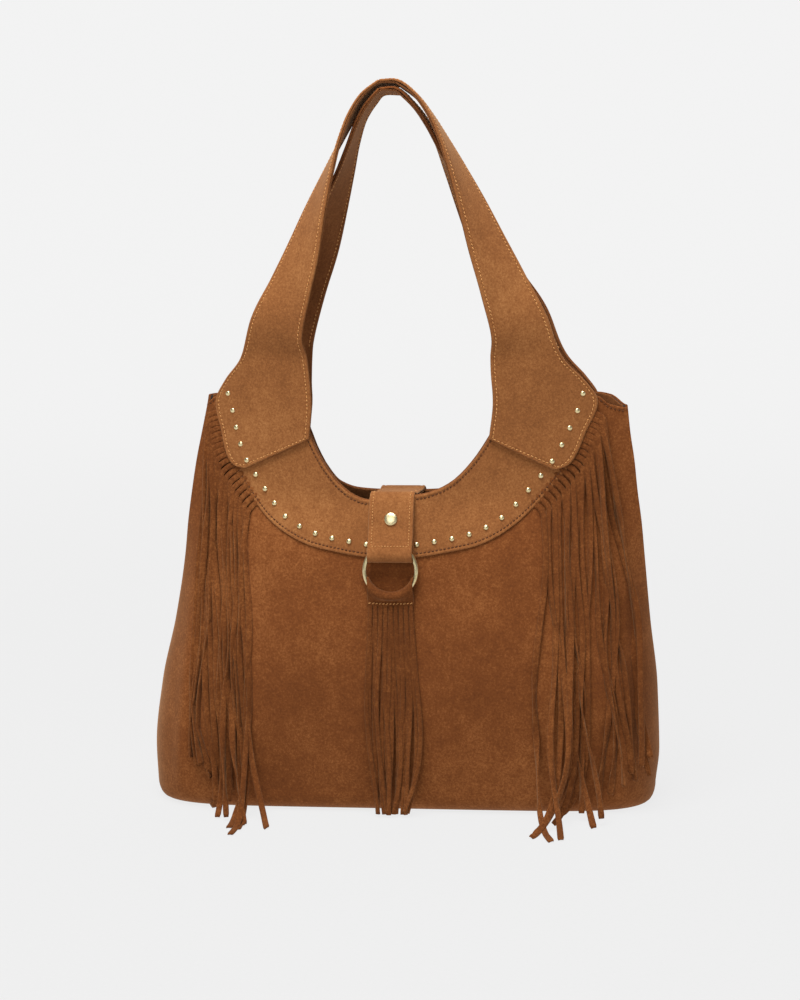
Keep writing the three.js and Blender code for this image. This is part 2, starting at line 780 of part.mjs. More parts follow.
/** Axis of the snap: its foot on the yoke's outer face and its outward direction. */
function snapAxis() {
  const foot = yokeFace(SNAP.height, 0);
  const place = new THREE.Vector3(0, foot.x, foot.y);
  return { place, axis: faceNormal(0, SNAP.height, YOKE.to) };
}

/** Cutter for a hole on the snap's axis, between two heights along it. */
function snapHole(radius, from, to) {
  const { place, axis } = snapAxis();
  return pin(radius, from, to, STUD_FACETS, place, axis);
}

/** Takes the hole of the snap's lower half out of a layer of the front wall. */
function boredForSnap(solid) {
  return solid.subtract(snapHole(SNAP_BORE.radius, -SNAP_BORE.depth, SNAP_BORE.over));
}

/** One of the four turned parts of the snap. */
function snapPiece(profile) {
  const { place, axis } = snapAxis();
  return turned(profile, SNAP_FACETS, place, axis);
}

/** Round wire ring, leaning out so that it clears the bag. */
function wireRing() {
  const geometry = new THREE.TorusGeometry(RING.radius, RING.wire, RING_STEPS.section, RING_STEPS.around);
  geometry.rotateX(Math.PI / 2);
  const hinge = ringHinge();
  geometry.translate(0, 0, RING.centre - hinge.y);
  geometry.rotateX(-radians(RING.lean));
  geometry.translate(0, hinge.x, hinge.y);
  return toSolid(geometry);
}

/** Middle of the ring's wire on its lower arc at x, as [y, z]. */
function lowerWire(x) {
  const hinge = ringHinge();
  const drop = hinge.y - RING.centre + Math.sqrt(RING.radius ** 2 - x ** 2);
  const lean = radians(RING.lean);
  return new THREE.Vector2(hinge.x - drop * Math.sin(lean), hinge.y - drop * Math.cos(lean));
}

/** How far out a tassel layer's middle hangs at a height, over the bag's belly. */
function tasselReach(height, layerIndex) {
  let reach = 0;
  for (const [row, , , depth] of BODY_ROWS) {
    if (row >= height) {
      reach = Math.max(reach, depth);
    }
  }
  reach = Math.max(reach, lookUp(BODY_ROWS, height, 3));
  const stack = GAP + TASSEL.thickness / 2 + layerIndex * (TASSEL.thickness + GAP);
  return -(reach + GAP / 2 + stack);
}

/** Path of the tassel's head over the ring at x: up the back, over the wire, down the front. */
function headLine(x) {
  const wire = lowerWire(x);
  const half = TASSEL.cavity + TASSEL.thickness / 2;
  const steep = RING.radius / Math.sqrt(RING.radius ** 2 - x ** 2); // the wire is cut aslant here
  const rise = RING.wire * steep + 1 + TASSEL.thickness / 2;
  const close = TASSEL.headBottom + 5;
  const line = [new THREE.Vector2(tasselReach(TASSEL.headBottom, 0), TASSEL.headBottom)];
  line.push(new THREE.Vector2(tasselReach(close, 0), close));
  for (let angle = 0; angle <= 180; angle += 45) {
    const shift = half * Math.cos(radians(angle));
    line.push(new THREE.Vector2(wire.x + shift, wire.y + rise * Math.sin(radians(angle))));
  }
  line.push(new THREE.Vector2(tasselReach(close, 1), close));
  line.push(new THREE.Vector2(tasselReach(TASSEL.headBottom, 1), TASSEL.headBottom));
  return line;
}

/** Tassel: a head folded over the ring with two layers of cut strands. */
function tasselSolid() {
  const columns = 8;
  const outside = [];
  const inside = [];
  for (let column = 0; column <= columns; column += 1) {
    const x = (column / columns - 0.5) * TASSEL.width;
    const lift = (points) => points.map((p) => new THREE.Vector3(x, p.x, p.y));
    const line = headLine(x);
    outside.push(lift(offsetLine(line, -TASSEL.thickness / 2)));
    inside.push(lift(offsetLine(line, TASSEL.thickness / 2)));
  }
  let tassel = sheetSolid(outside, inside);
  for (const layerIndex of [0, 1]) {
    const count = TASSEL.strands - (layerIndex === 0 ? 1 : 0);
    const pitch = (TASSEL.width - TASSEL.strandWidth) / (TASSEL.strands - 1);
    for (let strand = 0; strand < count; strand += 1) {
      const x = (strand - (count - 1) / 2) * pitch;
      const heights = [TASSEL.headBottom + 2, 140, 115, 90, 45, TASSEL.tip];
      const stations = heights.map((height) => ({
        point: new THREE.Vector3(x, tasselReach(height, layerIndex), height),
        turn: 0,
      }));
      tassel = tassel.add(strandSolid(stations, TASSEL.strandWidth, TASSEL.thickness));
    }
  }
  return tassel;
}

// ---- Studs --------------------------------------------------------------------------------

/** Places of the studs on the +X side, from the handle end to the tab. */
function studPlaces() {
  const line = new THREE.CatmullRomCurve3(STUD_LINE.map(([x, z]) => new THREE.Vector3(x, 0, z)));
  const spaced = line.getSpacedPoints(STUDS_A_SIDE - 1);
  return spaced.map((point, index) => {
    const lift = index < STUDS_ON_HANDLE ? OUTER_PLY.to : YOKE.to;
    return { x: point.x, z: point.z, lift };
  });
}

/** Axis of a stud: its foot on the surface and the outward direction. */
function studAxis({ x, z, lift }, sign) {
  return { place: facePoint(sign * x, z, lift), axis: faceNormal(sign * x, z, lift) };
}

/** Dome-headed stud with its short post. */
function studSolid(spot, sign) {
  const { place, axis } = studAxis(spot, sign);
  const seat = 0.25;
  const profile = [
    [0, -STUD.postLength],
    [STUD.postRadius, -STUD.postLength],
    [STUD.postRadius, seat],
    [STUD.radius, seat],
    [STUD.radius * 0.97, seat + STUD.height * 0.35],
    [STUD.radius * 0.68, seat + STUD.height * 0.82],
    [0, seat + STUD.height],
  ];
  return turned(profile, STUD_FACETS, place, axis);
}

/** Cutter for the hole that a stud's post sits in. */
function studHole(spot, sign) {
  const { place, axis } = studAxis(spot, sign);
  return pin(STUD.holeRadius, -PLY - 0.2, 1, STUD_HOLE_FACETS, place, axis);
}

/** Takes the holes of the chosen studs out of a solid. */
function drillForStuds(solid, onHandle, signs) {
  let drilled = solid;
  studPlaces().forEach((spot, index) => {
    if ((index < STUDS_ON_HANDLE) === onHandle) {
      for (const sign of signs) {
        drilled = drilled.subtract(studHole(spot, sign));
      }
    }
  });
  return drilled;
}

// ---- Assembly -----------------------------------------------------------------------------

const bag = new THREE.Group();
bag.name = 'fringed_suede_bag';

/** Adds one named piece to the bag. */
function addPiece(name, solid, color, roughness, metalness = 0) {
  const material = new THREE.MeshStandardMaterial({ color, roughness, metalness });
  const mesh = new THREE.Mesh(toGeometry(solid), material);
  mesh.name = name;
  bag.add(mesh);
}

/** Adds a soft piece with a matt finish. */
function addSuede(name, solid, color = COLOURS.suede) {
  addPiece(name, solid, color, 0.9);
}

/** Adds a metal piece. */
function addBrass(name, solid) {
  addPiece(name, solid, COLOURS.brass, 0.3, 1);
}

/** Panels, base, lining and facings. */
function addBody(trims) {
  const rearTrim = toRear(trims.rear);
  addSuede('front_panel', boredForSnap(layer(-PANEL, 0, trims.front)));
  addSuede('rear_panel', toRear(layer(-PANEL, 0, rearTrim)), COLOURS.suedeRear);
  addSuede('base_panel', basePlate(GAP, 0, PANEL), COLOURS.suedeRear);
  addPiece('base_board', basePlate(BOARD.inset, BOARD.from, BOARD.to), COLOURS.board, 0.8);
  addPiece('lining', boredForSnap(liningSolid(trims)), COLOURS.lining, 0.85);
  addSuede('front_facing', boredForSnap(facingSolid(trims.front, 0)), COLOURS.edge);
  addSuede('rear_facing', toRear(facingSolid(rearTrim, REAR_MOUTH_DROP)), COLOURS.edge);
}

/** Yokes on both faces; the front one is rebated over the fringe headers. */
function addYokes(trims) {
  const edge = aboveYokeEdge();
  let front = layer(YOKE.from, YOKE.to, trims.front, YOKE_LOWEST_ROW).intersect(edge);
  const rebate = layer(0, HEADER.to + 0.1 + GAP, trims.front, YOKE_LOWEST_ROW);
  for (const { sign } of Object.values(FRINGE_SIDES)) {
    const strip = headerPrism(sign, FRINGE.headerWidth + REBATE.inner, REBATE.outer, REBATE.ends);
    front = front.subtract(rebate.intersect(strip));
  }
  front = boredForSnap(drillForStuds(front, false, [-1, 1]));
  addSuede('front_yoke', front, COLOURS.suedeLight);
  const rear = layer(YOKE.from, YOKE.to, toRear(trims.rear), YOKE_LOWEST_ROW).intersect(edge);
  addSuede('rear_yoke', toRear(rear), COLOURS.suedeRear);
}

/** Both handles: a left and a right half, each with an outer and a backing ply. */
function addHandles() {
  for (const which of ['front', 'rear']) {
    for (const [side, sign] of [['left', -1], ['right', 1]]) {
      let outer = handlePly(which, sign, OUTER_PLY, sign > 0);
      if (which === 'front') {
        outer = drillForStuds(outer, true, [sign]);
      }
      const backing = handlePly(which, sign, BACKING_PLY, sign < 0);
      const place = (solid) => (which === 'rear' ? toRear(solid) : solid);
      addSuede(`${which}_handle_${side}`, place(outer), COLOURS.suedeLight);
      addSuede(`${which}_handle_${side}_backing`, place(backing), COLOURS.edge);
    }
  }
}

/** Cap of the snap: a dome on the tab with a post down through both of its plies. */
function capProfile(under) {
  const foot = under - SNAP.postEnd;
  const over = under + 2 * PLY + GAP;
  return [
    [0, foot],
    [SNAP.postRadius, foot],
    [SNAP.postRadius, over + GAP],
    [SNAP.capRadius, over + GAP],
    [SNAP.capRadius * 0.95, over + SNAP.capRise * 0.53],
    [SNAP.capRadius * 0.65, over + SNAP.capRise * 0.88],
    [0, over + SNAP.capRise],
  ];
}

/** Socket of the snap: a cup under the tab, open towards the stud. */
function socketProfile(under) {
  const { outer, inner, throat, floor } = SNAP.socket;
  const roof = under - SNAP.postEnd;
  return [
    [inner, floor],
    [outer, floor],
    [outer, under - GAP],
    [throat, under - GAP],
    [throat, roof],
    [inner, roof],
    [inner, floor],
  ];
}

/** Stud of the snap: a button on the yoke with a post through the front wall. */
function snapStudProfile() {
  const { flange, flangeTop, head, headTop, post, foot } = SNAP.stud;
  return [
    [0, -foot],
    [post, -foot],
    [post, GAP],
    [flange, GAP],
    [flange, flangeTop],
    [head, flangeTop],
    [head, headTop],
    [0, headTop],
  ];
}

/** Washer of the snap inside the bag. */
function washerProfile() {
  const { outer, inner, from, to } = SNAP.washer;
  return [[inner, -to], [outer, -to], [outer, -from], [inner, -from], [inner, -to]];
}

/** Tab, snap, ring and tassel. */
function addClosing() {
  const tab = ribbonSolid(tabLine(), PLY, TAB.width);
  addSuede('closure_tab', tab.subtract(snapHole(SNAP.holeRadius, 1, 12)), COLOURS.suedeLight);
  const under = SNAP.lift * 0.95; // the yoke leans here, so the tab is a little nearer along the axis
  addBrass('snap_cap', snapPiece(capProfile(under)));
  addBrass('snap_socket', snapPiece(socketProfile(under)));
  addBrass('snap_stud', snapPiece(snapStudProfile()));
  addBrass('snap_washer', snapPiece(washerProfile()));
  addBrass('ring', wireRing());
  addSuede('tassel', tasselSolid());
}

/** Fringes and studs. */
function addTrim(trims) {
  for (const [name, side] of Object.entries(FRINGE_SIDES)) {
    addSuede(`${name}_fringe`, fringeSolid(side, trims.front));
    studPlaces().forEach((spot, index) => {
      const place = index < STUDS_ON_HANDLE ? 'handle' : 'yoke';
      const number = String(index + 1).padStart(2, '0');
      addBrass(`stud_${name}_${place}_${number}`, studSolid(spot, side.sign));
    });
  }
}

const trims = belowMouth();
addBody(trims);
addYokes(trims);
addHandles();
addClosing();
addTrim(trims);

export default bag;
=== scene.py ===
"""Looks of a soft suede tote bag with studded yokes, cut side fringes and a ring-and-tassel tab.

Lengths in the classes are millimetres, +Z up, the front faces -Y; meshes are made in metres.
"""

import json
import logging
import math
from dataclasses import dataclass, field
from enum import Enum

import bpy
import numpy as np
from bpy.types import Material, Node, NodeSocket, NodeTree, Object
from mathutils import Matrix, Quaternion, Vector


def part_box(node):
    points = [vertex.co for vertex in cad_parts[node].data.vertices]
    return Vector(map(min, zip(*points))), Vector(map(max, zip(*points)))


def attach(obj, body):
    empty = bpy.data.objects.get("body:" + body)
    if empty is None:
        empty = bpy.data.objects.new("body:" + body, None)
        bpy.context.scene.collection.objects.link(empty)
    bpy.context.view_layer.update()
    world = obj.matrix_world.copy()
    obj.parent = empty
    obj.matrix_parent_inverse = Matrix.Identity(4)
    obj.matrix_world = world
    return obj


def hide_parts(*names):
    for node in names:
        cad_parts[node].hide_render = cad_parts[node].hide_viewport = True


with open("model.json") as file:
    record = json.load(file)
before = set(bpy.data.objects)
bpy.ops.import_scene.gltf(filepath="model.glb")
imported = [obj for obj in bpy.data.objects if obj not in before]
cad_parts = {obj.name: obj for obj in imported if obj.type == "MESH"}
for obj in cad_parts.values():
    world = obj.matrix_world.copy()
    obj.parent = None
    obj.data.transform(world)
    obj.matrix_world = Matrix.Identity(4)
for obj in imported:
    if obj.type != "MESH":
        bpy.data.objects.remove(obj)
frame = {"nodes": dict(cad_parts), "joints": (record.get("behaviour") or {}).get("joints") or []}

Array = np.ndarray  # points, one a row, or numbers
Mesh = tuple[Array, list]  # vertices, and the vertex numbers of each face
LOG = logging.getLogger("fringed_bag")
MM = 0.001
GAP = 0.3  # air between two pieces that touch
PLY = 1.4  # strap and yoke suede
PANEL = 1.6  # body suede
SEED = 11
FINE = 6  # points worked out for each one that a smooth line keeps
HEM = (0.0, 0.4, 1.0, 1.7, 2.3, 2.8, 3.4, 4.4)  # rows beside a sewn edge, the seam at the sixth


class Face(Enum):
    """The two faces of the bag, as the sign of their y."""

    FRONT = -1
    REAR = 1


class Side(Enum):
    """The two sides of the bag, as the sign of their x."""

    LEFT = -1
    RIGHT = 1


# ---- Curves and tables ----


class SmoothTable:
    """A value that changes smoothly and without overshoot along a rising key."""

    def __init__(self, keys: list[float], values: list[float]) -> None:
        """Works out the slope at every key.

        Args:
            keys: Rising keys.
            values: The value at each key.
        """
        self.keys = np.array(keys, float)
        self.values = np.array(values, float)
        step = np.diff(self.keys)
        rise = np.diff(self.values) / step
        slope = np.zeros(len(self.keys))
        for i in range(1, len(rise)):
            if rise[i - 1] * rise[i] > 0:
                a, b = 2 * step[i] + step[i - 1], step[i] + 2 * step[i - 1]
                slope[i] = (a + b) / (a / rise[i - 1] + b / rise[i])
        slope[0], slope[-1] = rise[0], rise[-1]
        self.slope = slope

    def __call__(self, at: Array) -> Array:
        """Value at each key in `at`, held beyond the two ends.

        Args:
            at: Keys of the wanted values.

        Returns:
            The values.
        """
        x = np.clip(at, self.keys[0], self.keys[-1])
        i = np.clip(np.searchsorted(self.keys, x, side="right") - 1, 0, len(self.keys) - 2)
        step = self.keys[i + 1] - self.keys[i]
        t = (x - self.keys[i]) / step
        return glide(t, step, (self.values[i], self.values[i + 1]), (self.slope[i], self.slope[i + 1]))


def glide(t: Array, step: Array, ends: tuple, slopes: tuple) -> Array:
    """Cubic way between known values.

    Args:
        t: Share of the way, from 0 to 1.
        step: Distance between the two keys.
        ends: The value at each key.
        slopes: The slope at each key.

    Returns:
        The value at each share.
    """
    low = (1 + 2 * t) * (1 - t) ** 2 * ends[0] + t * (1 - t) ** 2 * step * slopes[0]
    high = t * t * (3 - 2 * t) * ends[1] + t * t * (t - 1) * step * slopes[1]
    return low + high


def through(points: Array, key: Array, at: Array) -> Array:
    """Smooth line through points at given keys.

    Args:
        points: Points that the line passes, one a row.
        key: Rising key of each point.
        at: Keys of the wanted points.

    Returns:
        The wanted points.
    """
    slope = np.gradient(points, key, axis=0)
    i = np.clip(np.searchsorted(key, at, side="right") - 1, 0, len(key) - 2)
    step = (key[i + 1] - key[i])[:, None]
    t = ((at - key[i]) / step[:, 0])[:, None]
    return glide(t, step, (points[i], points[i + 1]), (slope[i], slope[i + 1]))


def smooth_line(points: Array, steps: int) -> Array:
    """Smooth curve through points, evenly spaced along its length.

    Args:
        points: Points that the curve passes, one a row.
        steps: How many points to return.

    Returns:
        The points of the curve.
    """
    p = np.asarray(points, float)
    key = run_of(p)
    return evenly(through(p, key, np.linspace(0, key[-1], steps * FINE)), steps)


def evenly(line: Array, steps: int) -> Array:
    """The same line, with its points evenly spaced along its length.

    Args:
        line: Points, one a row.
        steps: How many points to return.

    Returns:
        The points.
    """
    run = run_of(line)
    want = np.linspace(0, run[-1], steps)
    return np.stack([np.interp(want, run, line[:, k]) for k in range(line.shape[1])], axis=1)


def run_of(line: Array) -> Array:
    """Length of a line from its start to each point."""
    return np.concatenate([[0], np.cumsum(np.linalg.norm(np.diff(line, axis=0), axis=1))])


def unit(vectors: Array) -> Array:
    """Vectors of length one."""
    return vectors / np.maximum(np.linalg.norm(vectors, axis=-1, keepdims=True), 1e-9)


def mirrored(half: list[tuple[float, float]]) -> tuple[list[float], list[float]]:
    """Keys and values of a half outline mirrored about x = 0, from left to right.

    Args:
        half: Places and heights from the middle to the right.

    Returns:
        Places and heights of the whole.
    """
    left = [(-x, z) for x, z in half[1:]][::-1]
    both = left + list(half)
    return [x for x, _ in both], [z for _, z in both]


def edge_steps(length: float, hem: tuple[float, ...], inner: int) -> Array:
    """Places along a width, close together beside both edges.

    Args:
        length: The width.
        hem: Distances from an edge that need a row of their own.
        inner: How many even steps the rest is divided into.

    Returns:
        Distances from the first edge to the second.
    """
    near = np.array(hem) * min(1.0, length / (2.6 * hem[-1]))
    middle = np.linspace(near[-1], length - near[-1], inner + 1)[1:-1]
    return np.concatenate([near, middle, (length - near)[::-1]])


# ---- Meshes ----


def make_object(name: str, points: Array, faces: list, material: Material) -> Object:
    """Smooth-shaded mesh object.

    Args:
        name: Name of the piece.
        points: Vertices in millimetres.
        faces: Vertex numbers of each face.
        material: Its finish.

    Returns:
        The object, linked to the scene.
    """
    mesh = bpy.data.meshes.new(name)
    corners = (np.asarray(points, float) * MM).tolist()
    mesh.from_pydata(corners, [], [tuple(int(v) for v in f) for f in faces])
    mesh.materials.append(material)
    mesh.polygons.foreach_set("use_smooth", [True] * len(mesh.polygons))
    mesh.update()
    piece = bpy.data.objects.new(name, mesh)
    bpy.context.scene.collection.objects.link(piece)
    return piece


def volume(points: Array, faces: list) -> float:
    """Signed volume inside a closed list of faces.

    Args:
        points: Vertices.
        faces: Vertex numbers of each face.

    Returns:
        The volume, negative where the faces look in.
    """
    total = 0.0
    for f in faces:
        for k in range(1, len(f) - 1):
            total += float(np.dot(points[f[0]], np.cross(points[f[k]], points[f[k + 1]])))
    return total / 6


@dataclass
class Shell:
    """Vertices and faces that grow as bodies are added."""

    points: list = field(default_factory=list)
    faces: list = field(default_factory=list)
    count: int = 0

    def add(self, points: Array, faces: list) -> None:
        """Adds one closed body, turned so that it faces out.

        Args:
            points: Its vertices.
            faces: Vertex numbers of each face.
        """
        points = np.asarray(points, float).reshape(-1, 3)
        if volume(points, faces) < 0:
            faces = [tuple(reversed(f)) for f in faces]
        self.points.append(points)
        self.faces.extend(tuple(v + self.count for v in f) for f in faces)
        self.count += len(points)

    def make(self, name: str, material: Material) -> Object:
        """The object of all that was added."""
        return make_object(name, np.concatenate(self.points), self.faces, material)


def grid_normals(grid: Array) -> Array:
    """Unit normals of a grid of points, by its rows and columns.

    Args:
        grid: Points by row and column.

    Returns:
        A direction at each point.
    """
    down = np.gradient(grid, axis=0)
    across = np.gradient(grid, axis=1)
    return unit(np.cross(across, down))


def loft(rings: Array) -> Mesh:
    """Closed body skinned over rings of points, with a flat end on each.

    Args:
        rings: Points by ring and place round it.

    Returns:
        Vertices and faces.
    """
    count, around = rings.shape[:2]
    faces = [tuple(range(around))]
    for r in range(count - 1):
        for s in range(around):
            a, b = r * around + s, r * around + (s + 1) % around
            faces.append((a, b, b + around, a + around))
    faces.append(tuple(reversed(range((count - 1) * around, count * around))))
    faces[0] = tuple(reversed(faces[0]))
    faces[-1] = tuple(reversed(faces[-1]))
    return rings.reshape(-1, 3), faces


def sheet(outer: Array, inner: Array, roundness: float = 0.35) -> Mesh:
    """Closed sheet between two grids, with softly rounded rims.

    Args:
        outer: Points of the outer face by row and column.
        inner: Points of the inner face.
        roundness: How far the rim's middle stands out, as a share of the thickness.

    Returns:
        Vertices and faces.
    """
    rows, columns = outer.shape[:2]
    loop = [(0, c) for c in range(columns)] + [(r, columns - 1) for r in range(1, rows)]
    loop += [(rows - 1, c) for c in range(columns - 2, -1, -1)]
    loop += [(r, 0) for r in range(rows - 2, 0, -1)]
    middle = (outer + inner) / 2
    thick = np.linalg.norm(outer - inner, axis=2)
    rim = []
    for r, c in loop:
        away = np.zeros(3)
        if r in (0, rows - 1):
            away += unit(middle[r, c] - middle[1 if r == 0 else rows - 2, c])
        if c in (0, columns - 1):
            away += unit(middle[r, c] - middle[r, 1 if c == 0 else columns - 2])
        rim.append(middle[r, c] + unit(away) * thick[r, c] * roundness)
    total = rows * columns
    points = np.concatenate([outer.reshape(-1, 3), inner.reshape(-1, 3), np.array(rim)])
    faces = []
    for r in range(rows - 1):
        for c in range(columns - 1):
            a = r * columns + c
            faces.append((a, a + 1, a + columns + 1, a + columns))
            b = a + total
            faces.append((b, b + columns, b + columns + 1, b + 1))
    for k, (r, c) in enumerate(loop):
        n = (k + 1) % len(loop)
        here, after = r * columns + c, loop[n][0] * columns + loop[n][1]
        faces.append((after, here, 2 * total + k, 2 * total + n))
        faces.append((here + total, after + total, 2 * total + n, 2 * total + k))
    return points, faces


def ply(middle: Array, thickness: float) -> Mesh:
    """Closed sheet of one thickness about a grid of points."""
    normal = grid_normals(middle)
    return sheet(middle + normal * (thickness / 2), middle - normal * (thickness / 2))


def hem_swell(distance: Array, line: float, groove: float = 0.3, puff: float = 0.16) -> Array:
    """Height of suede beside a sewn edge: a groove under the stitches and a soft roll outside it.

    Args:
        distance: Distance of each point from the edge.
        line: Distance of the stitch line from the edge.
        groove: Depth of the groove.
        puff: Height of the roll between the stitches and the edge.

    Returns:
        The height at each point.
    """
    dip = -groove * np.exp(-(((distance - line) / 0.75) ** 2))
    roll = puff * np.exp(-(((distance - line * 0.45) / (line * 0.3)) ** 2))
    edge = -0.25 * np.exp(-((distance / 0.35) ** 2))
    return dip + roll + edge


# ---- Stitches ----


@dataclass(frozen=True)
class Stitching:
    """A run of lockstitch in sewing thread."""

    pitch: float = 3.0
    length: float = 2.2
    radius: float = 0.42
    slant: float = 7.0

    def sew(self, shell: Shell, line: Array, normal: Array) -> None:
        """Adds one short round of thread at every pitch of a line.

        Args:
            shell: Where the stitches are added.
            line: Points of the seam on the suede.
            normal: Outward direction at each point.
        """
        run = run_of(line)
        count = max(1, int(run[-1] / self.pitch))
        centres = (np.arange(count) + 0.5) * run[-1] / count
        at = np.stack([np.interp(centres, run, line[:, k]) for k in range(3)], axis=1)
        up = unit(np.stack([np.interp(centres, run, normal[:, k]) for k in range(3)], axis=1))
        near = 0.4
        ahead = np.stack([np.interp(centres + near, run, line[:, k]) for k in range(3)], axis=1)
        back = np.stack([np.interp(centres - near, run, line[:, k]) for k in range(3)], axis=1)
        along = unit(ahead - back)
        across = unit(np.cross(up, along))
        lean = math.radians(self.slant)
        along = along * math.cos(lean) + across * math.sin(lean)
        across = unit(np.cross(up, along))
        for k in range(count):
            shell.add(*self.one(at[k], along[k], across[k], up[k]))

    def one(self, at: Array, along: Array, across: Array, up: Array) -> Mesh:
        """One stitch: a short thread that dives into the suede at both ends.

        Args:
            at: Its middle.
            along: Direction of the thread.
            across: Direction across it.
            up: Direction out of the suede.

        Returns:
            Vertices and faces.
        """
        angles = np.arange(6) * math.tau / 6
        rings = []
        for share in (-1.0, -0.72, 0.0, 0.72, 1.0):
            radius = self.radius * (0.35 if abs(share) == 1 else 0.95)
            rise = self.radius * (0.55 - abs(share) ** 2.5)
            middle = at + along * share * self.length / 2 + up * rise
            ring = middle + radius * (np.cos(angles)[:, None] * across + np.sin(angles)[:, None] * up)
            rings.append(ring)
        return loft(np.array(rings))


# ---- Finishes ----


def linear(code: str) -> tuple[float, float, float, float]:
    """An sRGB hex colour as the linear colour that a shader takes."""
    parts = [int(code[i : i + 2], 16) / 255 for i in (1, 3, 5)]
    return (*[c / 12.92 if c <= 0.04045 else ((c + 0.055) / 1.055) ** 2.4 for c in parts], 1.0)


def add_node(
    tree: NodeTree, kind: str, settings: dict | None = None, links: dict | None = None
) -> Node:
    """Adds a node to a tree.

    Args:
        tree: The material's nodes.
        kind: Type of the node.
        settings: Its properties by name, and the values of its inputs by name or number.
        links: Output sockets that feed its inputs, by the input's name or number.

    Returns:
        The node.
    """
    node = tree.nodes.new(kind)
    for name, value in (settings or {}).items():
        if isinstance(name, str) and hasattr(node, name):
            setattr(node, name, value)
        else:
            node.inputs[name].default_value = value
    for name, source in (links or {}).items():
        tree.links.new(source, node.inputs[name])
    return node


def blank_material(name: str) -> tuple[Material, NodeTree, Node]:
    """New material with only its output node.

    Args:
        name: Name of the material.

    Returns:
        The material, its nodes and the output node.
    """
    material = bpy.data.materials.new(name)
    material.use_nodes = True
    material.node_tree.nodes.clear()
    return material, material.node_tree, add_node(material.node_tree, "ShaderNodeOutputMaterial")


def per_metre(millimetres: float) -> float:
    """Noise scale whose features are about this large."""
    return 1000 / millimetres


def shade(tree: NodeTree, stops: list[tuple[float, str]], source: NodeSocket) -> Node:
    """Colour ramp through hex colours at places from 0 to 1.

    Args:
        tree: The material's nodes.
        stops: Place and colour of each stop.
        source: What picks the colour.

    Returns:
        The ramp.
    """
    ramp = add_node(tree, "ShaderNodeValToRGB", links={"Fac": source})
    elements = ramp.color_ramp.elements
    while len(elements) < len(stops):
        elements.new(0.5)
    for element, (place, code) in zip(elements, stops):
        element.position = place
        element.color = linear(code)
    return ramp


@dataclass(frozen=True)
class BrushedSuede:
    """Split cowhide suede, sanded and brushed: a dry matt nap that lies lighter or darker in patches."""

    name: str
    deep: str
    body: str
    light: str
    cloud: float = 70.0  # patches where a hand has turned the nap
    smudge: float = 9.0
    speckle: float = 1.7  # clumps of nap, drawn coarser than real fibre so that they show
    nap: float = 0.6
    depth: float = 0.16
    sheen: float = 0.32

    def noise(
        self, tree: NodeTree, place: NodeSocket, size: float, detail: float, rough: float
    ) -> NodeSocket:
        """Noise whose features are `size` millimetres large."""
        settings = {"Scale": per_metre(size), "Detail": detail, "Roughness": rough}
        return add_node(tree, "ShaderNodeTexNoise", settings, {"Vector": place}).outputs["Fac"]

    def blend(self, tree: NodeTree, parts: list[tuple[NodeSocket, float]]) -> NodeSocket:
        """Weighted sum of noises, each centred on zero, about one half.

        Args:
            tree: The material's nodes.
            parts: Each noise and its weight.

        Returns:
            The sum.
        """
        total = None
        for source, weight in parts:
            shifted = add_node(tree, "ShaderNodeMath", {"operation": "SUBTRACT", 1: 0.5}, {0: source})
            scaled = {"operation": "MULTIPLY_ADD", 1: weight, 2: 0.5}
            links = {0: shifted.outputs[0]}
            if total is not None:
                links[2] = total
            total = add_node(tree, "ShaderNodeMath", scaled, links).outputs[0]
        return total

    def build(self) -> Material:
        """Makes the material.

        Returns:
            The material.
        """
        material, tree, output = blank_material(self.name)
        place = add_node(tree, "ShaderNodeTexCoord").outputs["Object"]
        clouds = self.noise(tree, place, self.cloud, 3.0, 0.55)
        smudges = self.noise(tree, place, self.smudge, 4.0, 0.6)
        specks = self.noise(tree, place, self.speckle, 3.0, 0.65)
        fibres = self.noise(tree, place, self.nap, 2.0, 0.6)
        tone = self.blend(tree, [(clouds, 0.5), (smudges, 0.3), (specks, 0.75), (fibres, 0.5)])
        ramp = shade(tree, [(0.12, self.deep), (0.5, self.body), (0.88, self.light)], tone)
        height = self.blend(tree, [(smudges, 0.35), (specks, 0.7), (fibres, 0.5)])
        relief = {"Strength": 0.55, "Distance": self.depth * MM}
        bump = add_node(tree, "ShaderNodeBump", relief, {"Height": height})
        principled = add_node(
            tree,
            "ShaderNodeBsdfPrincipled",
            {
                "Roughness": 0.96,
                "IOR": 1.45,
                "Specular IOR Level": 0.16,
                "Sheen Weight": self.sheen,
                "Sheen Roughness": 0.45,
                "Sheen Tint": linear("#e2b98c"),
            },
            {"Base Color": ramp.outputs["Color"], "Normal": bump.outputs["Normal"]},
        )
        tree.links.new(principled.outputs[0], output.inputs["Surface"])
        return material


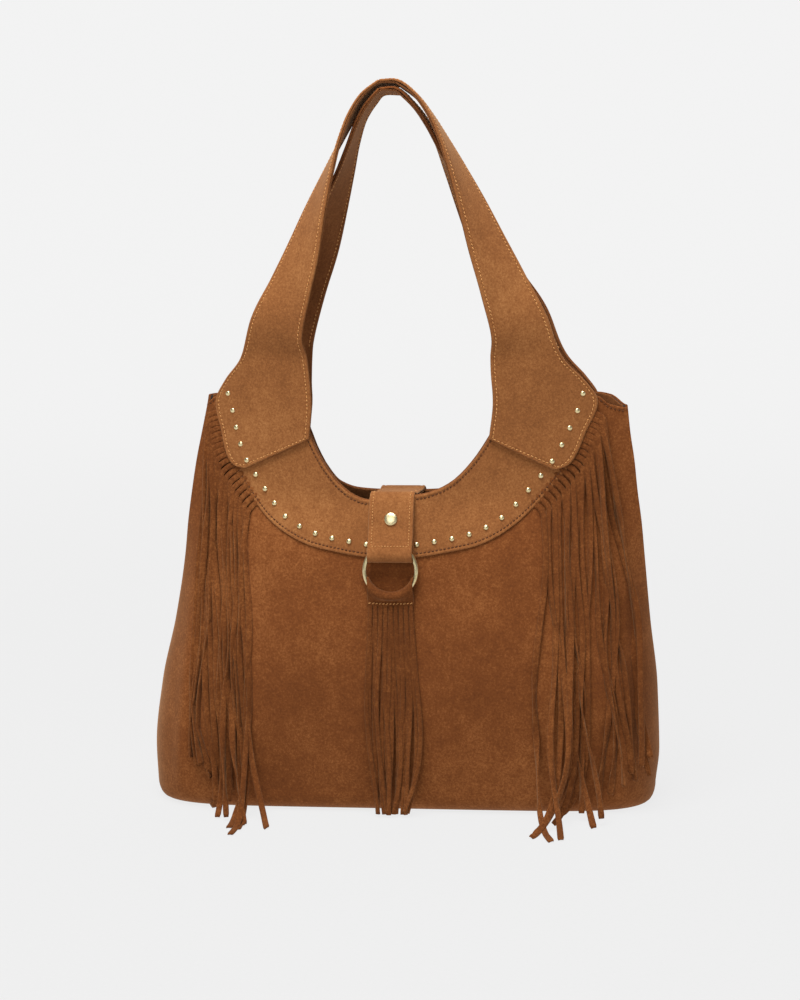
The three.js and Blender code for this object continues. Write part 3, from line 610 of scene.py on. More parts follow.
@dataclass(frozen=True)
class TwistedThread:
    """Bonded polyester sewing thread, twisted: a low silky shine with fine slanting strands."""

    name: str = "twisted_polyester_thread"
    colour: str = "#dba263"
    dark: str = "#b1743c"
    twist: float = 0.5
    depth: float = 0.06

    def build(self) -> Material:
        """Makes the material.

        Returns:
            The material.
        """
        material, tree, output = blank_material(self.name)
        place = add_node(tree, "ShaderNodeTexCoord").outputs["Object"]
        strands = add_node(
            tree,
            "ShaderNodeTexWave",
            {"bands_direction": "DIAGONAL", "Scale": per_metre(self.twist) / math.tau, "Distortion": 1.5},
            {"Vector": place},
        )
        ramp = shade(tree, [(0.2, self.dark), (0.75, self.colour)], strands.outputs["Fac"])
        relief = {"Strength": 0.4, "Distance": self.depth * MM}
        bump = add_node(tree, "ShaderNodeBump", relief, {"Height": strands.outputs["Fac"]})
        principled = add_node(
            tree,
            "ShaderNodeBsdfPrincipled",
            {"Roughness": 0.6, "IOR": 1.5, "Specular IOR Level": 0.3},
            {"Base Color": ramp.outputs["Color"], "Normal": bump.outputs["Normal"]},
        )
        tree.links.new(principled.outputs[0], output.inputs["Surface"])
        return material


@dataclass(frozen=True)
class PlatedBrass:
    """Brass with a thin pale gold plating, tumbled: a clear reflection with fine handling marks."""

    name: str = "pale_gold_plated_brass"
    colour: str = "#f0e2b4"
    tarnish: str = "#dccb96"
    marks: float = 3.0
    polish: tuple[float, float] = (0.28, 0.38)  # roughness of the brightest and dullest spots

    def build(self) -> Material:
        """Makes the material.

        Returns:
            The material.
        """
        material, tree, output = blank_material(self.name)
        place = add_node(tree, "ShaderNodeTexCoord").outputs["Object"]
        marks = {"Scale": per_metre(self.marks), "Detail": 4.0}
        wear = add_node(tree, "ShaderNodeTexNoise", marks, {"Vector": place})
        ramp = shade(tree, [(0.25, self.tarnish), (0.6, self.colour)], wear.outputs["Fac"])
        span = dict(zip(("To Min", "To Max"), self.polish))
        rough = add_node(tree, "ShaderNodeMapRange", span, {"Value": wear.outputs["Fac"]})
        principled = add_node(
            tree,
            "ShaderNodeBsdfPrincipled",
            {"Metallic": 1.0},
            {"Base Color": ramp.outputs["Color"], "Roughness": rough.outputs["Result"]},
        )
        tree.links.new(principled.outputs[0], output.inputs["Surface"])
        return material


@dataclass(frozen=True)
class WovenLining:
    """Plain woven polyester cloth, dyed dark brown: crossing threads with a faint sheen."""

    name: str = "plain_woven_lining"
    colour: str = "#35261d"
    dark: str = "#1f1611"
    thread: float = 0.6  # spacing of the threads
    depth: float = 0.1

    def build(self) -> Material:
        """Makes the material.

        Returns:
            The material.
        """
        material, tree, output = blank_material(self.name)
        place = add_node(tree, "ShaderNodeTexCoord").outputs["Object"]
        bands = []
        for direction in ("X", "Z"):
            settings = {
                "bands_direction": direction,
                "Scale": per_metre(self.thread) / math.tau,
                "Distortion": 0.6,
            }
            bands.append(add_node(tree, "ShaderNodeTexWave", settings, {"Vector": place}).outputs["Fac"])
        weave = add_node(tree, "ShaderNodeMath", {"operation": "MULTIPLY"}, {0: bands[0], 1: bands[1]})
        ramp = shade(tree, [(0.0, self.dark), (0.8, self.colour)], weave.outputs[0])
        relief = {"Strength": 0.5, "Distance": self.depth * MM}
        bump = add_node(tree, "ShaderNodeBump", relief, {"Height": weave.outputs[0]})
        principled = add_node(
            tree,
            "ShaderNodeBsdfPrincipled",
            {"Roughness": 0.8, "IOR": 1.5, "Sheen Weight": 0.15},
            {"Base Color": ramp.outputs["Color"], "Normal": bump.outputs["Normal"]},
        )
        tree.links.new(principled.outputs[0], output.inputs["Surface"])
        return material


@dataclass(frozen=True)
class PressedBoard:
    """Grey-brown fibre board, pressed: flat and dull with short fibres in it."""

    name: str = "pressed_fibre_board"
    colour: str = "#6b5844"
    dark: str = "#4c3d2f"
    fibre: float = 1.6

    def build(self) -> Material:
        """Makes the material.

        Returns:
            The material.
        """
        material, tree, output = blank_material(self.name)
        place = add_node(tree, "ShaderNodeTexCoord").outputs["Object"]
        grain = {"Scale": per_metre(self.fibre), "Detail": 6.0}
        fibres = add_node(tree, "ShaderNodeTexNoise", grain, {"Vector": place})
        ramp = shade(tree, [(0.35, self.dark), (0.65, self.colour)], fibres.outputs["Fac"])
        principled = add_node(
            tree, "ShaderNodeBsdfPrincipled", {"Roughness": 0.85}, {"Base Color": ramp.outputs["Color"]}
        )
        tree.links.new(principled.outputs[0], output.inputs["Surface"])
        return material


@dataclass
class Finishes:
    """Every material of the bag, made once."""

    suede: Material = field(init=False)
    suede_upper: Material = field(init=False)
    suede_strands_and_shade: Material = field(init=False)
    suede_backing: Material = field(init=False)
    thread: Material = field(init=False)
    thread_tone_and_shade: Material = field(init=False)
    brass: Material = field(init=False)
    lining: Material = field(init=False)
    board: Material = field(init=False)

    def __post_init__(self) -> None:
        """Builds the materials."""
        self.suede = BrushedSuede("brushed_suede_body", "#592e15", "#7b4520", "#a6693a").build()
        self.suede_upper = BrushedSuede("brushed_suede_upper", "#6b4022", "#905a31", "#b67d4a").build()
        # the strands' suede is darker than the body's: partly their nap, which lies another way, and
        # partly painted shade between the strands
        strands = BrushedSuede("brushed_suede_strands_and_shade", "#4a260f", "#6e3d1b", "#a06435", sheen=0.24)
        self.suede_strands_and_shade = strands.build()
        backing = BrushedSuede("brushed_suede_backing", "#55321a", "#7a4a28", "#966239")
        self.suede_backing = backing.build()
        self.thread = TwistedThread().build()
        # dark tone-on-tone thread for the yokes and the mouth, partly its own colour and partly painted
        # shade in the stitch holes
        self.thread_tone_and_shade = TwistedThread("twisted_polyester_thread_tone", "#6b3c1a", "#4b2811").build()
        self.brass = PlatedBrass().build()
        self.lining = WovenLining().build()
        self.board = PressedBoard().build()


# ---- Camera and studio ----


@dataclass(frozen=True)
class CameraRig:
    """Long-lens camera a little above the bag and to its right."""

    target: tuple[float, float, float] = (2.0, 0.0, 270.0)
    azimuth: float = 8.0
    elevation: float = 9.5
    distance: float = 2200.0
    lens: float = 104.2
    roll: float = -1.25
    shift: float = -0.05

    def build(self) -> Object:
        """Makes the camera and sets it as the scene's.

        Returns:
            The camera.
        """
        data = bpy.data.cameras.new("camera")
        data.lens = self.lens
        data.shift_y = self.shift
        camera = bpy.data.objects.new("camera", data)
        bpy.context.scene.collection.objects.link(camera)
        a, e = math.radians(self.azimuth), math.radians(self.elevation)
        back = Vector((math.sin(a) * math.cos(e), -math.cos(a) * math.cos(e), math.sin(e)))
        camera.location = (Vector(self.target) + back * self.distance) * MM
        camera.rotation_mode = "QUATERNION"
        turn = Quaternion((0, 0, 1), math.radians(self.roll))
        camera.rotation_quaternion = (-back).to_track_quat("-Z", "Y") @ turn
        bpy.context.scene.camera = camera
        return camera


@dataclass(frozen=True)
class Studio:
    """Plain pale floor that sweeps up into a backdrop, under soft studio light."""

    width: float = 40.0
    front: float = -16.0
    sweep_from: float = 1.6
    radius: float = 1.0
    height: float = 4.5
    pale: str = "#404040"
    grain: str = "#3b3b3b"
    glow: tuple[float, float] = (0.80, 0.86)  # near and far; lit from behind, so that it stays even
    glow_reach: tuple[float, float] = (0.2, 2.4)  # y where the glow starts and stops changing
    surround: float = 0.14
    aim: float = 0.27  # height that the lamps point at
    lamps: tuple = (  # name, place in metres, size, power
        ("overhead_soft", (-0.15, -0.66, 2.35), 1.3, 62),
        ("front_soft", (-0.35, -2.5, 1.45), 1.2, 12),
    )

    def sweep(self) -> Object:
        """Floor and backdrop in one smooth sheet.

        Returns:
            The sheet.
        """
        line = [(self.front, 0.0), (self.sweep_from, 0.0)]
        for k in range(1, 13):
            angle = math.radians(90 * k / 12)
            ahead, up = self.radius * math.sin(angle), self.radius * (1 - math.cos(angle))
            line.append((self.sweep_from + ahead, up))
        line.append((self.sweep_from + self.radius, self.height))
        points = [(x / MM, y / MM, z / MM) for y, z in line for x in (-self.width / 2, self.width / 2)]
        faces = [(2 * k, 2 * k + 1, 2 * k + 3, 2 * k + 2) for k in range(len(line) - 1)]
        return make_object("studio_sweep", np.array(points), faces, self.paper())

    def paper(self) -> Material:
        """Matt background paper, faintly grained.

        Returns:
            The material.
        """
        material, tree, output = blank_material("matt_background_paper")
        place = add_node(tree, "ShaderNodeTexCoord").outputs["Object"]
        grain = add_node(tree, "ShaderNodeTexNoise", {"Scale": per_metre(3.0)}, {"Vector": place})
        ramp = shade(tree, [(0.3, self.grain), (0.7, self.pale)], grain.outputs["Fac"])
        depth = add_node(tree, "ShaderNodeSeparateXYZ", links={"Vector": place}).outputs["Y"]
        near, far = self.glow
        start, stop = self.glow_reach
        settings = {
            "From Min": start,
            "From Max": stop,
            "To Min": near,
            "To Max": far,
            "interpolation_type": "SMOOTHSTEP",
        }
        glow = add_node(tree, "ShaderNodeMapRange", settings, {"Value": depth})
        principled = add_node(
            tree,
            "ShaderNodeBsdfPrincipled",
            {"Roughness": 1.0, "Specular IOR Level": 0.0, "Emission Color": (1.0, 1.0, 1.0, 1.0)},
            {"Base Color": ramp.outputs["Color"], "Emission Strength": glow.outputs["Result"]},
        )
        tree.links.new(principled.outputs[0], output.inputs["Surface"])
        return material

    def lamp(self, name: str, place: tuple[float, float, float], size: float, power: float) -> None:
        """Large square soft light that points at the bag.

        Args:
            name: Its name.
            place: Its place in metres.
            size: Its side in metres.
            power: Its power in watts.
        """
        data = bpy.data.lights.new(name, "AREA")
        data.size = size
        data.energy = power
        lamp = bpy.data.objects.new(name, data)
        bpy.context.scene.collection.objects.link(lamp)
        lamp.location = place
        lamp.rotation_mode = "QUATERNION"
        lamp.rotation_quaternion = (Vector((0, 0, self.aim)) - Vector(place)).to_track_quat("-Z", "Y")

    def build(self) -> None:
        """Makes the sweep, the sky and the lamps."""
        self.sweep()
        world = bpy.data.worlds.new("soft_surround")
        world.use_nodes = True
        background = world.node_tree.nodes["Background"]
        background.inputs["Color"].default_value = (1, 1, 1, 1)
        background.inputs["Strength"].default_value = self.surround
        bpy.context.scene.world = world
        bpy.context.scene.view_settings.view_transform = "Standard"
        for name, place, size, power in self.lamps:
            self.lamp(name, place, size, power)


# ---- Shape of the bag ----


@dataclass
class BagForm:
    """The outer surface that every layer of the bag follows."""

    rows: tuple = (  # height, left half-width, right half-width, half-depth
        (14, 193, 194, 53),
        (40, 194, 197, 56),
        (90, 188, 196, 57.5),
        (140, 176, 191, 54.5),
        (190, 167, 187, 46),
        (215, 164, 185, 38),
        (240, 160, 182, 30),
        (262, 156, 180, 28.5),
        (284, 151, 177, 27),
        (306, 146, 175, 26),
        (330, 142, 173, 25),
    )
    mouth_half: tuple = (  # x and height of the front mouth's edge
        (0, 240), (18, 240.8), (32, 244.5), (43, 250.5), (51, 258), (61, 271), (68.5, 284),
        (76, 297), (92, 304), (120, 308), (146, 312), (154, 306), (168, 302.5), (230, 301),
    )  # fmt: skip
    rear_half: tuple = (  # the same at the rear, wider and lower
        (0, 233.5), (20, 234), (36, 235.5), (50, 241), (61, 254), (70, 270), (76, 284),
        (83, 297), (95, 302), (120, 306), (146, 313.5), (156, 312), (168, 304.5), (230, 301),
    )  # fmt: skip
    lean: tuple = (  # height, how far the soft upper part leans towards +X
        (225, 0), (250, 2), (284, 5), (310, 7.5), (335, 6),
        (360, 5), (400, 5), (460, 3.5), (506, 2), (546, 0.5),
    )  # fmt: skip
    dip: tuple[float, float, float] = (4.5, -24.0, 20.0)  # the mouth's sag: depth, x, width
    roll: float = 14.0
    side_roll: float = 0.45  # the roll is tighter round the ends of the base
    top: float = 306.0
    section_power: tuple[float, float] = (2.0, 8.0)  # of the section, at the top and at the base
    section_root: tuple[float, float] = (0.45, 1.0)  # of the section, at the base and at the top

    def __post_init__(self) -> None:
        """Makes the smooth tables."""
        heights = [row[0] for row in self.rows]
        self.half_left = SmoothTable(heights, [row[1] for row in self.rows])
        self.half_right = SmoothTable(heights, [row[2] for row in self.rows])
        self.half_deep = SmoothTable(heights, [row[3] for row in self.rows])
        self.lean_at = SmoothTable([z for z, _ in self.lean], [x for _, x in self.lean])
        self.mouth_line = {}
        for face, half in ((Face.FRONT, self.mouth_half), (Face.REAR, self.rear_half)):
            xs, zs = mirrored(list(half))
            self.mouth_line[face] = SmoothTable(list(np.array(xs) + self.lean_at(np.array(zs))), zs)

    def share(self, u: Array, z: Array) -> Array:
        """Share of the half-depth at `u` across and height `z`.

        Args:
            u: Places across, from -1 to 1.
            z: Heights.

        Returns:
            The share, from 0 to 1.
        """
        rise = np.clip(z / self.top, 0, 1)
        power = self.section_power[0] + (self.section_power[1] - self.section_power[0]) * (1 - rise) ** 2
        root = self.section_root[0] + (self.section_root[1] - self.section_root[0]) * rise
        return np.maximum(0, 1 - np.abs(u) ** power) ** root

    def half_wide(self, u: Array, z: Array) -> Array:
        """Half-width on the side of `u`."""
        return np.where(u < 0, self.half_left(z), self.half_right(z))

    def mouth(self, x: Array, face: Face) -> Array:
        """Height of the mouth's edge.

        Args:
            x: Places across.
            face: Which face.

        Returns:
            The heights.
        """
        deep, place, width = self.dip
        sag = deep * np.exp(-(((x - place) / width) ** 2)) if face is Face.FRONT else 0.0
        return self.mouth_line[face](x) - sag

    def slump(self, x: Array, z: Array) -> Array:
        """How far the soft suede stands out of the plain form, in slack folds and dents.

        Args:
            x: Places across.
            z: Heights.

        Returns:
            The distance out of the face, negative where it dents in.
        """
        clear = 1 - np.exp(-((x / 34) ** 2))  # flat behind the ring and tassel
        low = np.clip((250 - z) / 80, 0, 1) * np.clip(z / 40, 0, 1)
        waves = 0.9 * np.sin(x / 31 + z / 57 + 0.6) + 0.7 * np.sin(x / 19 - z / 43 + 2.1)
        waves += 0.5 * np.sin(x / 12.5 + z / 88)
        # a fold down each side with a dent beside it, and a hollow under the yoke
        left = 3.8 * np.exp(-(((x + 169 - 0.06 * z) / 6.5) ** 2))
        left -= 2.4 * np.exp(-(((x + 156 - 0.05 * z) / 8) ** 2))
        right = 3.4 * np.exp(-(((x - 173) / 6) ** 2)) - 2.2 * np.exp(-(((x - 160) / 8) ** 2))
        hollow = -2.2 * np.exp(-((x / 120) ** 2) - ((z - 172) / 26) ** 2)
        return clear * low * (waves + left + right + hollow)

    def by_share(self, u: Array, z: Array, lift: float, face: Face) -> Array:
        """Points at `u` across, a height and a lift out of the face.

        Args:
            u: Places across, from -1 to 1.
            z: Heights.
            lift: Lift out of the face.
            face: Which face.

        Returns:
            The points.
        """
        wide = self.half_wide(u, z)
        x = (wide + lift) * u
        deep = (self.half_deep(z) + lift) * self.share(u, z) + self.slump(wide * u, z) * self.share(u, z)
        return np.stack([x, face.value * (GAP / 2 + np.maximum(deep, 0)), z + 0 * x], axis=-1)

    def at(self, x: Array, z: Array, lift: float | Array, face: Face) -> Array:
        """Points at x, a height and a lift out of the face.

        Args:
            x: Places across.
            z: Heights.
            lift: Lift out of the face.
            face: Which face.

        Returns:
            The points.
        """
        u = np.clip(x / (self.half_wide(x, z) + lift), -1, 1)
        share = self.share(u, z)
        deep = (self.half_deep(z) + lift) * share + self.slump(x, z) * share
        return np.stack([x + 0 * z, face.value * (GAP / 2 + np.maximum(deep, 0)), z + 0 * x], axis=-1)

    def normal(self, x: float, z: float, lift: float, face: Face) -> Array:
        """Outward direction of the face at one place.

        Args:
            x: Place across.
            z: Height.
            lift: Lift out of the face.
            face: Which face.

        Returns:
            The direction.
        """
        step = 3.0
        xs, zs = np.array([x + step, x - step, x, x]), np.array([z, z, z + step, z - step])
        p = self.at(xs, zs, lift, face)
        out = unit(np.cross(p[0] - p[1], p[2] - p[3]))
        return out if out[1] * face.value > 0 else -out

    def rolled(self, u: Array, angle: float, lift: float, face: Face) -> Array:
        """Points of the rolled bottom edge, `angle` degrees from upright to flat.

        Args:
            u: Places across, from -1 to 1.
            angle: Degrees from upright.
            lift: Lift out of the face.
            face: Which face.

        Returns:
            The points.
        """
        reach = self.roll + lift
        inset = reach * math.cos(math.radians(angle)) - self.roll
        z = self.roll - reach * math.sin(math.radians(angle))
        base = self.rows[0]
        wide = self.half_wide(u, np.full_like(u, base[0])) + lift + (inset - lift) * self.side_roll
        deep = (base[3] + inset) * self.share(u, np.full_like(u, base[0]))
        return np.stack([wide * u, face.value * (GAP / 2 + deep), np.full_like(u, z)], axis=-1)


@dataclass
class SewnPatch:
    """A patch that lies on the bag between two edge lines, ruled from one to the other.

    `first` and `second` are matching points of the two edges, as x and z.
    """

    form: BagForm
    face: Face
    first: Array
    second: Array
    hem: tuple[float, ...] = HEM
    inner: int = 9

    def flat(self) -> tuple[Array, Array]:
        """Places x and z and the distance to the nearer edge, by column along and row across.

        Returns:
            The places, and the distances.
        """
        places, nearest = [], []
        for a, b in zip(self.first, self.second):
            length = max(float(np.linalg.norm(b - a)), 0.5)
            steps = edge_steps(length, self.hem, self.inner)
            places.append(a + (b - a) * (steps / length)[:, None])
            nearest.append(np.minimum(steps, length - steps))
        return np.array(places), np.array(nearest)

    def body(self, low: float, high: float, line: float) -> Mesh:
        """Closed sheet between two lifts, with a groove at `line` from both edges.

        Args:
            low: Lift of the inner face.
            high: Lift of the outer face.
            line: Distance of the groove from the edges.

        Returns:
            Vertices and faces.
        """
        grid, nearest = self.flat()
        swell = hem_swell(nearest, line) * np.clip(nearest.max(axis=1, keepdims=True) / 8, 0, 1)
        outer = self.form.at(grid[..., 0], grid[..., 1], high + swell, self.face)
        inner = self.form.at(grid[..., 0], grid[..., 1], low + 0 * swell, self.face)
        return sheet(outer, inner)

    def seam(self, second: bool, line: float, lift: float, skip: float = 4.0) -> tuple[Array, Array]:
        """Stitch line at a distance from one edge, with its outward directions.

        Args:
            second: Whether it runs beside the second edge.
            line: Distance from the edge.
            lift: Lift out of the face.
            skip: How much wider than that the patch has to be.

        Returns:
            Points and directions.
        """
        a, b = (self.second, self.first) if second else (self.first, self.second)
        length = np.linalg.norm(b - a, axis=1)
        keep = length > line + skip
        inward = unit(b - a)[keep]
        spot = a[keep] + inward * line
        points = self.form.at(spot[:, 0], spot[:, 1], lift, self.face)
        normal = np.array([self.form.normal(x, z, lift, self.face) for x, z in spot])
        return points, normal


# ---- Body, yokes and lining ----


@dataclass
class BagBody:
    """Front and rear panels, the base, the facings inside the mouth and the lining."""

    form: BagForm
    finishes: Finishes
    columns: int = 121
    roll_steps: int = 6
    row_pitch: float = 5.0
    facing_depth: float = 28.0
    facing_lift: float = -3.35
    facing_thick: float = 0.9
    lining_lift: float = -2.25
    lining_thick: float = 0.7
    lining_floor: float = 4.4
    lining_foot: tuple[float, float, float] = (0.94, 0.8, 1.0)  # how far it is drawn in at the floor
    lining_heel: tuple[float, float, float] = (0.985, 0.93, 1.0)  # and a little above
    mouth_rows: tuple[float, ...] = (0, 0.5, 1.2, 1.9, 2.4, 2.8, 3.4, 4.6)  # below the mouth's edge
    facing_rows: tuple[float, ...] = (0, 0.8, 1.8, 2.6, 3.4)
    base_edge: tuple = (  # inset and height round the rim of the base
        (1.3, 0.0), (0.5, 0.15), (0.3, 0.5), (0.3, 1.1), (0.7, 1.45), (1.4, PANEL),
    )  # fmt: skip
    base_half: tuple[float, float] = (176.0, 39.0)
    yoke_corner: tuple[float, float] = (147.0, 311.0)  # x and height where the yokes leave the mouth
    stitch_line: float = 2.6

    def shares(self) -> Array:
        """Column positions, closer together towards the side seams."""
        return np.sin(np.linspace(-1, 1, self.columns) * math.pi / 2)

    def tops(self, u: Array, face: Face) -> Array:
        """Height of the mouth's edge in each column.

        Args:
            u: Places across, from -1 to 1.
            face: Which face.

        Returns:
            The heights.
        """
        z = np.full_like(u, self.form.top)
        for _ in range(8):
            z = self.form.mouth(self.form.half_wide(u, z) * u, face)
        return z

    def grid(self, lift: float, face: Face, floor: float | None = None, trim: float = 0.0) -> Array:
        """Points of a whole face at a lift, from the base or a floor up to the mouth.

        Args:
            lift: Lift out of the face.
            face: Which face.
            floor: Height to start at, or None for the rolled base.
            trim: How far below the mouth it ends.

        Returns:
            Points by row and column.
        """
        u = self.shares()
        top = self.tops(u, face) - trim
        rows = []
        start = self.form.rows[0][0]
        if floor is None:
            angles = np.linspace(90, 0, self.roll_steps + 1)[:-1]
            rows = [self.form.rolled(u, float(angle), lift, face) for angle in angles]
        else:
            start = floor
        count = int((self.form.top - start) / self.row_pitch)
        near = np.array(self.mouth_rows)
        shares = np.linspace(0, 1, count)
        for t in shares[:-1]:
            rows.append(self.form.by_share(u, start + (top - near[-1] - start) * t, lift, face))
        for step in near[::-1]:
            rows.append(self.form.by_share(u, top - step, lift, face))
        return np.array(rows)

    def hem(self, grid: Array) -> Array:
        """Swell of the sewn hem along the mouth."""
        below = np.abs(grid[-1][None, :, 2] - grid[..., 2])
        return hem_swell(below, self.stitch_line, 0.28, 0.14)

    def panel(self, face: Face) -> Object:
        """One body panel, rolled under at the bottom.

        Args:
            face: Which face.

        Returns:
            The panel.
        """
        name = "front_panel_suede" if face is Face.FRONT else "rear_panel_suede"
        outer = self.grid(0.0, face)
        out = grid_normals(outer)
        out *= np.sign(out[..., 1:2].mean()) * face.value
        outer = outer + out * self.hem(outer)[..., None]
        shell = Shell()
        shell.add(*sheet(outer, self.grid(-PANEL, face)))
        piece = shell.make(name, self.finishes.suede)
        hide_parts("front_panel" if face is Face.FRONT else "rear_panel")
        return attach(piece, "bag")

    def outline(self, inset: float, z: float) -> Array:
        """Closed outline of the base at a height, drawn in by an inset.

        Args:
            inset: How far it is drawn in.
            z: Its height.

        Returns:
            The points.
        """
        u = self.shares()
        front = self.form.rolled(u, 90.0, 0.0, Face.FRONT)
        front[:, 0] *= 1 - inset / self.base_half[0]
        front[:, 1] *= 1 - inset / self.base_half[1]
        rear = front[1:-1][::-1] * np.array([1, -1, 1])
        loop = np.concatenate([front, rear])
        loop[:, 2] = z
        return loop

    def base(self) -> Object:
        """Flat suede base with a softly rounded edge.

        Returns:
            The base.
        """
        rings = np.array([self.outline(inset, z) for inset, z in self.base_edge])
        shell = Shell()
        shell.add(*loft(rings))
        piece = shell.make("base_suede", self.finishes.suede)
        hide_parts("base_panel")
        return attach(piece, "bag")

    def facing(self, face: Face) -> Object:
        """Suede band inside the mouth.

        Args:
            face: Which face.

        Returns:
            The band.
        """
        u = self.shares()[3:-3]
        top = self.tops(u, face) - 0.2
        drops = np.concatenate([self.facing_rows, np.linspace(5, self.facing_depth, 9)])
        rows = [self.form.by_share(u, top - drop, self.facing_lift, face) for drop in drops]
        shell = Shell()
        shell.add(*ply(np.array(rows)[::-1], self.facing_thick))
        piece = shell.make(f"{face.name.lower()}_facing_suede", self.finishes.suede_backing)
        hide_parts(f"{face.name.lower()}_facing")
        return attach(piece, "bag")

    def lining(self) -> Object:
        """Cloth bag inside the panels, with its floor.

        Returns:
            The lining.
        """
        shell = Shell()
        for face in Face:
            rows = self.grid(self.lining_lift, face, self.form.rows[0][0], 0.5)
            foot = rows[0] * np.array(self.lining_foot)
            foot[:, 2] = self.lining_floor
            heel = rows[0] * np.array(self.lining_heel)
            heel[:, 2] = self.lining_floor + 3
            centre = foot * np.array([1.0, 0.0, 1.0])
            centre[:, 1] = face.value * 0.2
            grid = np.concatenate([[centre], [(foot + centre) / 2], [foot], [heel], rows])
            shell.add(*ply(grid, self.lining_thick))
        piece = shell.make("cloth_lining", self.finishes.lining)
        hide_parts("lining")
        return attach(piece, "bag")

    def mouth_stitches(self) -> Object:
        """Thread along the mouth beside the side seams, which no yoke covers.

        Returns:
            The stitches.
        """
        shell = Shell()
        for face in Face:
            for side in Side:
                half = self.form.half_left if side is Side.LEFT else self.form.half_right
                end = half(np.array(self.form.top))
                corner, height = self.yoke_corner
                start = corner + side.value * float(self.form.lean_at(np.array(height)))
                x = np.linspace(start, float(end) - 2, 30) * side.value
                z = self.form.mouth(x, face) - self.stitch_line
                line = self.form.at(x, z, -0.12, face)
                normal = np.array([self.form.normal(a, b, 0.0, face) for a, b in zip(x, z)])
                Stitching().sew(shell, line, normal)
        piece = shell.make("mouth_stitches", self.finishes.thread_tone_and_shade)
        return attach(piece, "bag")

    def build(self) -> None:
        """Makes every piece of the body."""
        for face in Face:
            self.panel(face)
            self.facing(face)
        self.base()
        self.lining()
        self.mouth_stitches()
        board = frame["nodes"]["base_board"]
        board.data.materials.clear()
        board.data.materials.append(self.finishes.board)


@dataclass
class Yoke:
    """Curved band sewn round the mouth on one face."""

    form: BagForm
    finishes: Finishes
    face: Face
    edge_half: tuple = (
        (0, 195.5), (19, 196.3), (43, 200), (66, 205.3), (83, 213.2), (96.5, 222.8), (110, 236.8),
        (121.5, 251), (131, 264), (138.5, 284), (144.5, 308),
    )  # fmt: skip
    low: float = 0.9
    high: float = 1.8
    steps: int = 150
    stitch_line: float = 2.7

    def lower(self) -> Array:
        """Smooth lower edge from the left corner to the right one.

        Returns:
            Points as x and z.
        """
        xs, zs = mirrored(list(self.edge_half))
        leaned = np.array(xs) + self.form.lean_at(np.array(zs))
        return smooth_line(np.stack([leaned, zs], axis=1), self.steps)

    def upper(self) -> Array:
        """Upper edge along the mouth.

        Returns:
            Points as x and z.
        """
        lower = self.lower()
        x = np.linspace(lower[0, 0] - 0.6, lower[-1, 0] + 0.6, 600)
        line = np.stack([x, self.form.mouth(x, self.face)], axis=1)
        return evenly(line, self.steps)

    def patch(self) -> SewnPatch:
        """The yoke as a sewn patch."""
        return SewnPatch(self.form, self.face, self.lower(), self.upper())

    def build(self) -> Object:
        """Makes the yoke and its stitches.

        Returns:
            The stitches.
        """
        name = self.face.name.lower()
        patch = self.patch()
        shell = Shell()
        shell.add(*patch.body(self.low if self.face is Face.FRONT else GAP, self.high, self.stitch_line))
        upper = self.finishes.suede_upper if self.face is Face.FRONT else self.finishes.suede
        piece = shell.make(f"{name}_yoke_suede", upper)
        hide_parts(f"{name}_yoke")
        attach(piece, "bag")
        thread = Shell()
        for second in (False, True):
            Stitching().sew(thread, *patch.seam(second, self.stitch_line, self.high - 0.15))
        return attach(thread.make(f"{name}_yoke_stitches", self.finishes.thread_tone_and_shade), "bag")


# ---- Handles ----


class Layer(Enum):
    """The two plies of a handle, as lifts of their two faces from the bag."""

    BACKING = (2.1, 3.5)
    OUTER = (3.8, 5.2)


PLIES_MIDDLE = (Layer.BACKING.value[0] + Layer.OUTER.value[1]) / 2  # lift of the middle of both plies


